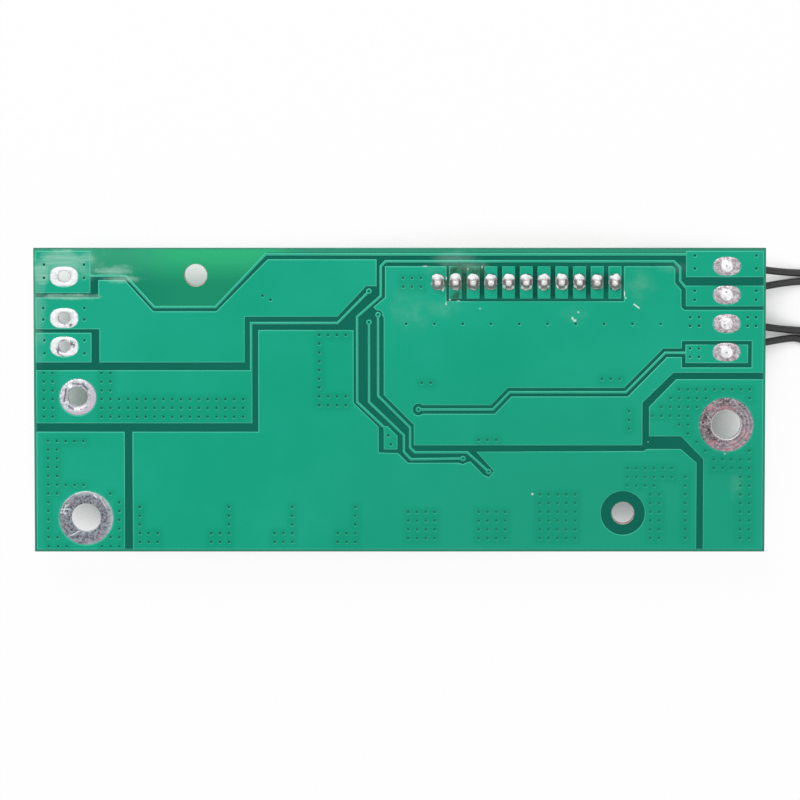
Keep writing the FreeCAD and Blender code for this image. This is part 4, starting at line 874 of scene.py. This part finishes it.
def header_marks(tree, spot, colour):
    """Painted light and shade on the solder: a light cap above each pin, painted shade in the
    hollows beside it and in bands below and above it, painted highlights at the lower corners.
    """
    parts = add(tree, "ShaderNodeSeparateXYZ", {0: spot}).outputs
    wave = maths(tree, "MULTIPLY_ADD", grain(tree, spot, 900, 3), 0.9, -0.45)
    row = maths(tree, "MULTIPLY_ADD", parts["Y"], 1 / MM, HALF_WIDTH / MM - PIN_ROW)
    row = maths(tree, "ADD", row, wave)
    aside = maths(tree, "MULTIPLY_ADD", parts["X"], 1 / MM, HALF_LENGTH / MM - FIRST_PIN)
    aside = maths(tree, "WRAP", aside, PIN_PITCH / 2, -PIN_PITCH / 2)
    aside = maths(tree, "ABSOLUTE", maths(tree, "ADD", aside, maths(tree, "MULTIPLY", wave, 0.5)))
    # Painted shade in the hollows beside each pin and in bands below and above it.
    hollow_shade = maths(tree, "MULTIPLY", between(tree, aside, 0.34, 0.5), between(tree, row, 0.6, 0.3))
    hollow_shade = maths(tree, "MULTIPLY", hollow_shade, between(tree, aside, 0.88, 0.76))
    below = maths(tree, "MULTIPLY", between(tree, row, -0.4, -0.55), between(tree, row, -1.0, -0.8))
    above = maths(tree, "MULTIPLY", between(tree, row, 0.1, 0.3), between(tree, row, 0.55, 0.4))
    dark = maths(tree, "MAXIMUM", hollow_shade, below)
    dark = maths(tree, "MAXIMUM", dark, maths(tree, "MULTIPLY", 0.5, above))
    colour = tinted(tree, colour, (0.13, 0.12, 0.12), dark, 0.72)
    # Painted highlight: a light cap above each pin.
    cap = maths(tree, "MULTIPLY", between(tree, row, 0.42, 0.6), between(tree, row, 1.4, 1.1))
    colour = tinted(tree, colour, (0.78, 0.78, 0.8), cap, 0.7)
    # Painted highlights at the lower corners of the middle joints.
    corner_highlights = patches(tree, spot, [(x + side, y - 0.72, 0.3, 0.34) for x, y in PIN_SPOTS[4:9]
                                  for side in (-0.66, 0.66)], 0.6)
    return mixed(tree, corner_highlights, colour, (0.95, 0.95, 0.93))


hand_solder = tin("hand_solder", (0.5, 0.46, 0.48), (0.84, 0.81, 0.82), 0.25, 0.5, header_marks)
flux, tree, principled = shader("dark_flux")
spot = here(tree)
cloud = grain(tree, spot, 1500, 3)
tree.links.new(mixed(tree, between(tree, cloud, 0.4, 0.62), (0.02, 0.06, 0.045),
                     (0.5, 0.56, 0.52)), principled.inputs["Base Color"])
tree.links.new(between(tree, cloud, 0.3, 0.7, 0.2, 0.5), principled.inputs["Roughness"])
bump(tree, principled, cloud, 0.3, 0.03 * MM)

HEADER_JOINT_RINGS = [
    (0.91, 1.19, 8.7), (0.9, 1.18, 8.78), (0.84, 1.08, 8.84), (0.78, 1.0, 8.93),
    (0.72, 0.9, 9.06), (0.64, 0.78, 9.22), (0.56, 0.66, 9.38), (0.5, 0.56, 9.52),
    (0.46, 0.48, 9.64), (0.43, 0.43, 9.73), (0.38, 0.38, 9.75)]
JOINT_FOOT, JOINT_TOP = HEADER_JOINT_RINGS[0][2] * MM, HEADER_JOINT_RINGS[-1][2] * MM
SLUMP = 0.16  # how far the solder's outline wanders, as a share of its width
mesh = bmesh.new()
for number, (x, y) in enumerate(PIN_SPOTS):
    older = len(mesh.verts)
    centre = from_corner(x, y)
    rings = rounds(mesh, centre, HEADER_JOINT_RINGS, 40, False, [1] * (1 + number // 8))
    mesh.faces.new(rings[-1])
    mesh.faces.new(rings[0][::-1])
    mesh.verts.ensure_lookup_table()
    for vert in mesh.verts[older:]:
        if vert.co.z > JOINT_FOOT + 0.05 * MM:
            forward = max(0, vert.co.y - centre.y) / MM
            level = (vert.co.z - JOINT_FOOT) / MM
            raised = vert.co.z + 0.55 * MM * min(forward, 0.7) * (1.05 - level)
            vert.co.z = min(JOINT_TOP, raised)
            turn = noise.noise(Vector((vert.co.x, vert.co.y, 0)) / (0.55 * MM) + Vector((0, 0, x)))
            slack = SLUMP * turn if level < 0.85 else 0
            vert.co.x += (vert.co.x - centre.x) * slack
            vert.co.y += (vert.co.y - centre.y) * slack
    uneven([vert for vert in mesh.verts[older:] if 8.8 * MM < vert.co.z < 9.7 * MM], 0.1, 0.45, x)
new_piece("header_solder", mesh, [hand_solder, flux], "header_joints")


# Header: a natural nylon shroud, moulded with keying slots, on the component side, and its
# square tin-plated pins, which run through the board and are tapered at both ends.

SHARP = 0.35  # radians between two faces from which their edge is broken


def break_edges(mesh, edges, width, segments=2):
    """Round over edges; width is in millimetres."""
    bmesh.ops.bevel(mesh, geom=edges, offset=width * MM, segments=segments, profile=0.6,
                    affect="EDGES", clamp_overlap=True, material=-1)


def dressed(node, name, materials, pick, width):
    """A CAD node with its flat faces joined and its edges broken; pick gives each face a skin."""
    mesh = bmesh.new()
    mesh.from_mesh(nodes[node].data)
    bmesh.ops.remove_doubles(mesh, verts=mesh.verts, dist=WELD)
    bmesh.ops.dissolve_limit(mesh, angle_limit=math.radians(1), verts=mesh.verts, edges=mesh.edges)
    for face in mesh.faces:
        face.material_index = pick(face.calc_center_median() / MM)
    break_edges(mesh, [edge for edge in mesh.edges
                       if len(edge.link_faces) == 2 and edge.calc_face_angle(0) > SHARP], width)
    new_piece(name, mesh, materials, node)


def moulding(name, colours, size, rough, relief, shine=0.4):
    """Moulded plastic: clouded between two colours, with a fine eroded skin."""
    material, tree, principled = shader(name)
    spot = here(tree)
    cloud = between(tree, grain(tree, spot, size, 4, 0.6), 0.35, 0.65)
    tree.links.new(mixed(tree, cloud, *colours), principled.inputs["Base Color"])
    tree.links.new(between(tree, cloud, 0, 1, rough[0], rough[1]), principled.inputs["Roughness"])
    principled.inputs["Specular IOR Level"].default_value = shine
    bump(tree, principled, grain(tree, spot, 9000, 2), relief, 0.02 * MM)
    return material


def one_skin(spot):
    """The same skin on every face."""
    return 0


nylon = moulding("natural_nylon", ((0.72, 0.68, 0.58), (0.8, 0.77, 0.68)), 160, (0.4, 0.55), 0.2)
dressed("header_housing", "header_shroud", [nylon], one_skin, 0.09)
pin_tin = tin("pin_tin", (0.62, 0.6, 0.56), (0.92, 0.91, 0.88), 0.7, 0.1)
dressed("header_pins", "header_pin_row", [pin_tin], one_skin, 0.04)


# Power transistors: moulded packages, face down in a row along the bottom edge and two in the
# charge path. Each one's tinned tab and both its leads are soldered to the board's copper.

SOLDERED_FACE = 6.87


def by_side(middle_y, half):
    """Picks metal for the faces past the mould's sides or against the board, mould for others."""
    return lambda spot: int(abs(spot.y - middle_y) > half or spot.z > SOLDERED_FACE)


black_mould = moulding("black_mould", ((0.014, 0.014, 0.015), (0.026, 0.026, 0.027)), 260,
                       (0.5, 0.65), 0.5)
tab_tin = tin("tab_tin", (0.42, 0.42, 0.43), (0.72, 0.72, 0.71), 0.75, 0.15)
MOULD_HALF_DEPTH = 3.06
for kind, name, count, middle_y in (("mosfet", "power_transistor", 6, -14.55),
                                    ("charge_mosfet", "charge_transistor", 2, 2.7)):
    for number in range(1, count + 1):
        dressed(f"{kind}_{number}", f"{name}_{number}", [black_mould, tab_tin],
                by_side(middle_y, MOULD_HALF_DEPTH), 0.09)


# Current shunts and bleed resistors: flat chips of white alumina with a black glaze over the
# resistive film and tinned caps wrapped round both ends, soldered flat to their pads.

def block(mesh, low, high, skin, width, segments=2):
    """A block between two corners in millimetres, with broken edges."""
    made = bmesh.ops.create_cube(mesh, size=1)["verts"]
    middle, size = (low + high) / 2, high - low
    for vert in made:
        vert.co = (middle + Vector(a * b for a, b in zip(vert.co, size))) * MM
        for face in vert.link_faces:
            face.material_index = skin
    edges = dict.fromkeys(edge for vert in made for edge in vert.link_edges)
    break_edges(mesh, list(edges), width, segments)


def chip(mesh, low, high, cap):
    """A chip lying along y, face down: ceramic body, glaze on its face, caps at both ends."""
    body_low, body_high = low + Vector((0.03, 0.04, 0.05)), high - Vector((0.03, 0.04, 0.04))
    block(mesh, body_low, body_high, 0, 0.03, 1)
    glaze_low = low + Vector((0.08, cap - 0.05, 0.015))
    glaze_high = Vector((high.x - 0.08, high.y - cap + 0.05, body_low.z + 0.02))
    block(mesh, glaze_low, glaze_high, 1, 0.03)
    for first, last in ((low.y, low.y + cap), (high.y - cap, high.y)):
        block(mesh, Vector((low.x, first, low.z)), Vector((high.x, last, high.z)), 2, 0.05)


alumina = moulding("alumina", ((0.66, 0.65, 0.6), (0.78, 0.77, 0.73)), 900, (0.5, 0.65), 0.3)
glaze = moulding("black_glaze", ((0.012, 0.012, 0.013), (0.03, 0.03, 0.032)), 1200,
                 (0.22, 0.34), 0.15, 0.5)
cap_tin = tin("cap_tin", (0.45, 0.45, 0.46), (0.74, 0.74, 0.74), 0.7, 0.15)
CAP = 0.8
CHIPS = [(f"current_shunt_{number}", f"shunt_{number}") for number in (1, 2, 3)]
CHIPS += [(f"bleed_resistor_{number}", f"bleed_chip_{number}") for number in range(1, 11)]
for node, name in CHIPS:
    low, high = (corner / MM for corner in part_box(node))
    mesh = bmesh.new()
    if high.x - low.x > high.y - low.y:
        middle = (low + high) / 2
        half = Vector((high.y - low.y, high.x - low.x, high.z - low.z)) / 2
        chip(mesh, middle - half, middle + half, CAP)
        for vert in mesh.verts:
            away = vert.co - middle * MM
            vert.co = middle * MM + Vector((-away.y, away.x, away.z))
    else:
        chip(mesh, low, high, CAP)
    new_piece(name, mesh, [alumina, glaze, cap_tin], node)


# Balancing chips and the protection chip: moulded packages with gull-wing leads. One small chip
# watches each cell, and the large one, with fourteen leads a side, drives the transistors.

lead_tin = tin("lead_tin", (0.5, 0.5, 0.5), (0.8, 0.8, 0.79), 0.8, 0.1)
for number in range(1, 11):
    dressed(f"balance_chip_{number}", f"cell_monitor_{number}", [black_mould, lead_tin],
            by_side(11.6, 0.81), 0.035)
dressed("protection_chip", "pack_monitor", [black_mould, lead_tin], by_side(-3.4, 2.21), 0.04)


# Small chips: the ceramic filter capacitors of the cell inputs, and the gate resistors of the
# power transistors, both soldered by their tinned ends.

ceramic = moulding("brown_ceramic", ((0.2, 0.125, 0.075), (0.3, 0.2, 0.13)), 1300,
                   (0.4, 0.55), 0.2)
SMALL_HALF_WIDTH, SMALL_HALF_LENGTH, SMALL_CAP = 0.4, 0.8, 0.3
SMALL_BOTTOM, SMALL_TOP = 6.4, 6.9
for node, name, first, pitch, count, y, body in (
        ("filter_chips", "filter_capacitors", 37.5, -4.054, 10, 1.4, [ceramic, ceramic]),
        ("gate_chips", "gate_resistors", -29.25, 9.7, 6, -6.5, [alumina, glaze])):
    mesh = bmesh.new()
    for step in range(count):
        x = first + pitch * step
        chip(mesh, Vector((x - SMALL_HALF_WIDTH, y - SMALL_HALF_LENGTH, SMALL_BOTTOM)),
             Vector((x + SMALL_HALF_WIDTH, y + SMALL_HALF_LENGTH, SMALL_TOP)), SMALL_CAP)
    new_piece(name, mesh, body + [cap_tin], node)


# Thermistor beads: a drop of black epoxy over each thermistor, at the end of its pair of leads.

epoxy = moulding("bead_epoxy", ((0.008, 0.008, 0.009), (0.018, 0.018, 0.019)), 500,
                 (0.16, 0.3), 0.12, 0.5)
BEAD_RINGS = [(0.25, -2.5), (0.5, -2.46), (0.66, -2.36), (0.82, -2.1), (1.0, -1.65), (1.15, -1.1),
              (1.26, -0.5), (1.3, 0.05), (1.27, 0.6), (1.17, 1.15), (1.0, 1.7), (0.8, 2.15),
              (0.62, 2.38), (0.44, 2.47), (0.2, 2.5)]
BEAD_HEIGHT = 3.45  # its middle rests on the coil
for number, x, y, turn in ((1, 74.5, 11.0, "x"), (2, 68.5, -9.6, "y")):
    mesh = bmesh.new()
    profile = [(radius, radius, height) for radius, height in BEAD_RINGS]
    rings = rounds(mesh, Vector((0, 0)), profile, 40, False)
    mesh.faces.new(rings[0][::-1])
    mesh.faces.new(rings[-1])
    for vert in mesh.verts:
        vert.co *= 1 + 0.02 * noise.noise(vert.co / (1.2 * MM) + Vector((number, 0, 0)))
    for vert in mesh.verts:
        across, aside, along = vert.co
        laid = (across, -along, aside) if turn == "x" else (along, aside, -across)
        vert.co = Vector((x, y, BEAD_HEIGHT)) * MM + Vector(laid)
    new_piece(f"thermistor_bead_{number}", mesh, [epoxy], f"bead_{number}")


# Thermistor leads: two pairs of thin black insulated wire that leave their joints below the
# board and run out under its right edge, down to the table. Each pair's spare length lies in
# a small coil, with the epoxy bead that holds the thermistor at its end.

LEAD_RADIUS = 0.525
LEAD_STARTS = [(46.9, 19.4), (46.9, 15.27), (46.9, 11.14), (46.9, 7.01)]
LEAD_RUNS = [(49.5, (18.9, 15.4, 10.7, 7.2), 3.5), (52.7, (18.2, 15.9, 9.95, 7.75), 2.7),
             (56.0, (17.75, 16.35, 9.45, 8.2), 1.6)]
UPPER_TAIL = [(59.3, 0.7), (62.6, 0.56), (65.9, 0.54)]
LOWER_TAIL = [(58.2, 9.2, 8.15, 0.65), (60.0, 8.3, 7.25, 0.55), (61.2, 6.45, 5.55, 0.54),
              (62.05, 4.1, 3.3, 0.56), (62.5, 1.5, 0.8, 0.54), (62.5, -1.0, -2.2, 0.55)]
COIL_X, COIL_Y = 68.5, (11.0, -3.6)
COIL_RADIUS, HALF_SPACING, LAYER = 6.0, 0.55, 1.1
COIL_SWEEP, TURN_POINTS = 782, 16
CLIMB_START, CLIMB = 290, 60  # degrees of each turn in which it climbs to the next layer
RESTING = 0.54
BEAD_ENTRIES = [(74.75, 13.0, 3.5), (74.25, 13.0, 3.5), (66.45, -9.35, 3.5), (66.45, -9.85, 3.5)]


def lead_route(lead):
    """The points of a lead from its joint to its coil, in millimetres."""
    x, y = LEAD_STARTS[lead]
    route = [(x, y, 6.1), (x, y, 5.1), (x + 0.8, y, 4.15)]
    route += [(x, ys[lead], z) for x, ys, z in LEAD_RUNS]
    if lead < 2:
        side = HALF_SPACING if lead == 0 else -HALF_SPACING
        return route + [(x, COIL_Y[0] + COIL_RADIUS + side, z) for x, z in UPPER_TAIL]
    side = HALF_SPACING if lead == 2 else -HALF_SPACING
    return route + [(x + side, high if lead == 2 else low, z) for x, high, low, z in LOWER_TAIL]


def coil_points(lead):
    """The coil's turns of one lead, in millimetres: round on the surface, then on top of that."""
    centre_y = COIL_Y[lead // 2]
    outside = lead in (0, 3)
    radius = COIL_RADIUS + (HALF_SPACING if outside else -HALF_SPACING)
    start, way = (90, -1) if lead < 2 else (180, 1)
    points = []
    for step in range(int(COIL_SWEEP * TURN_POINTS / 360) + 1):
        angle = step * 360 / TURN_POINTS
        turn, part = divmod(angle, 360)
        if turn < 2:
            rise = (turn + min(1, max(0, (part - CLIMB_START) / CLIMB))) * LAYER
        else:
            rise = 2 * LAYER + 0.7 * min(1, part / CLIMB)
        bearing = math.radians(start + way * angle)
        points.append((COIL_X + radius * math.cos(bearing), centre_y + radius * math.sin(bearing),
                       RESTING + rise))
    return points


lead_sleeve = moulding("black_sleeve", ((0.018, 0.018, 0.02), (0.031, 0.031, 0.033)), 420,
                       (0.36, 0.5), 0.25, 0.45)

for lead, length in enumerate((0.11, 0.096, 0.096, 0.11)):
    points = lead_route(lead) + coil_points(lead) + [BEAD_ENTRIES[lead]]
    curve = bpy.data.curves.new(f"thermistor_lead_{lead + 1}", "CURVE")
    curve.dimensions = "3D"
    spline = curve.splines.new("NURBS")
    spline.points.add(len(points) - 1)
    for point, spot in zip(spline.points, points):
        point.co = (*[part * MM for part in spot], 1)
    spline.order_u = 3
    spline.use_endpoint_u = True
    curve.resolution_u = 6
    curve.bevel_depth = LEAD_RADIUS * MM
    curve.bevel_resolution = 4
    curve.use_fill_caps = True
    curve.materials.append(lead_sleeve)
    wire = bpy.data.objects.new(curve.name, curve)
    bpy.context.scene.collection.objects.link(wire)
    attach(wire, "root")
    coils = [f"coil_{lead // 2 + 1}"] if lead % 2 == 0 else []
    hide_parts(f"lead_{lead + 1}", *coils)


# Floor, light and camera: a white table top under one large soft lamp behind the board's upper
# edge with a weaker one facing it, seen from almost straight above, as in the photograph.

white, tree, principled = shader("white_table")
principled.inputs["Base Color"].default_value = (0.9, 0.9, 0.9, 1)
principled.inputs["Roughness"].default_value = 0.9
principled.inputs["Specular IOR Level"].default_value = 0.1


def seen_directly(tree):
    """1 for rays from the camera or a mirror image, 0 for the light that falls on the board."""
    path = add(tree, "ShaderNodeLightPath").outputs
    straight = maths(tree, "MAXIMUM", path["Is Camera Ray"], path["Is Glossy Ray"])
    return maths(tree, "MAXIMUM", straight, path["Is Transmission Ray"])


corner = add(tree, "ShaderNodeAmbientOcclusion", {"Distance": 12 * MM}, samples=24)
open_sky = between(tree, corner.outputs["AO"], 0.3, 0.74)
glow = add(tree, "ShaderNodeEmission", {"Color": (1, 1, 1, 1), "Strength": 1.0})
white_share = maths(tree, "MULTIPLY", seen_directly(tree),
                    maths(tree, "MULTIPLY", open_sky, 0.96))
lit = add(tree, "ShaderNodeMixShader",
          {0: white_share, 1: principled.outputs[0], 2: glow.outputs[0]})
tree.links.new(lit.outputs[0], tree.nodes["Material Output"].inputs["Surface"])
bpy.ops.mesh.primitive_plane_add(size=6)
floor = bpy.context.object
floor.name = "table_top"
floor.data.materials.append(white)

world = bpy.data.worlds.new("studio")
bpy.context.scene.world = world
world.use_nodes = True
tree = world.node_tree
strength = maths(tree, "MAXIMUM", seen_directly(tree), 0.48)
tree.links.new(strength, tree.nodes["Background"].inputs["Strength"])
tree.nodes["Background"].inputs["Color"].default_value = (1, 1, 1, 1)


def lamp(name, spot, size, power):
    """A square soft lamp that faces the board."""
    light = bpy.data.lights.new(name, "AREA")
    light.size = size
    light.energy = power
    held = bpy.data.objects.new(name, light)
    held.location = spot
    held.rotation_mode = "QUATERNION"
    held.rotation_quaternion = (-Vector(spot)).to_track_quat("-Z", "Y")
    bpy.context.scene.collection.objects.link(held)


lamp("softbox", (-0.2, 0.62, 0.6), 0.5, 5.2)
lamp("reflector", (0.5, -0.4, 0.6), 0.6, 0.8)

PICTURE_SIDE, PIXELS_A_METRE = 800, 6965
DISTANCE, TILT = 1.05, math.radians(7)
view_from = Vector((0, math.sin(TILT), math.cos(TILT)))
camera = bpy.data.cameras.new("camera")
camera.sensor_width = 36
camera.lens = PIXELS_A_METRE * DISTANCE / PICTURE_SIDE * camera.sensor_width
camera.clip_start, camera.clip_end = 0.01, 10
eye = bpy.data.objects.new("camera", camera)
aim = Vector((0.05 * MM, 0.095 * MM, COPPER_FACE))
eye.location = aim + view_from * DISTANCE
eye.rotation_euler = (-TILT, 0, 0)
bpy.context.scene.collection.objects.link(eye)
bpy.context.scene.camera = eye
bpy.context.scene.view_settings.view_transform = "Standard"
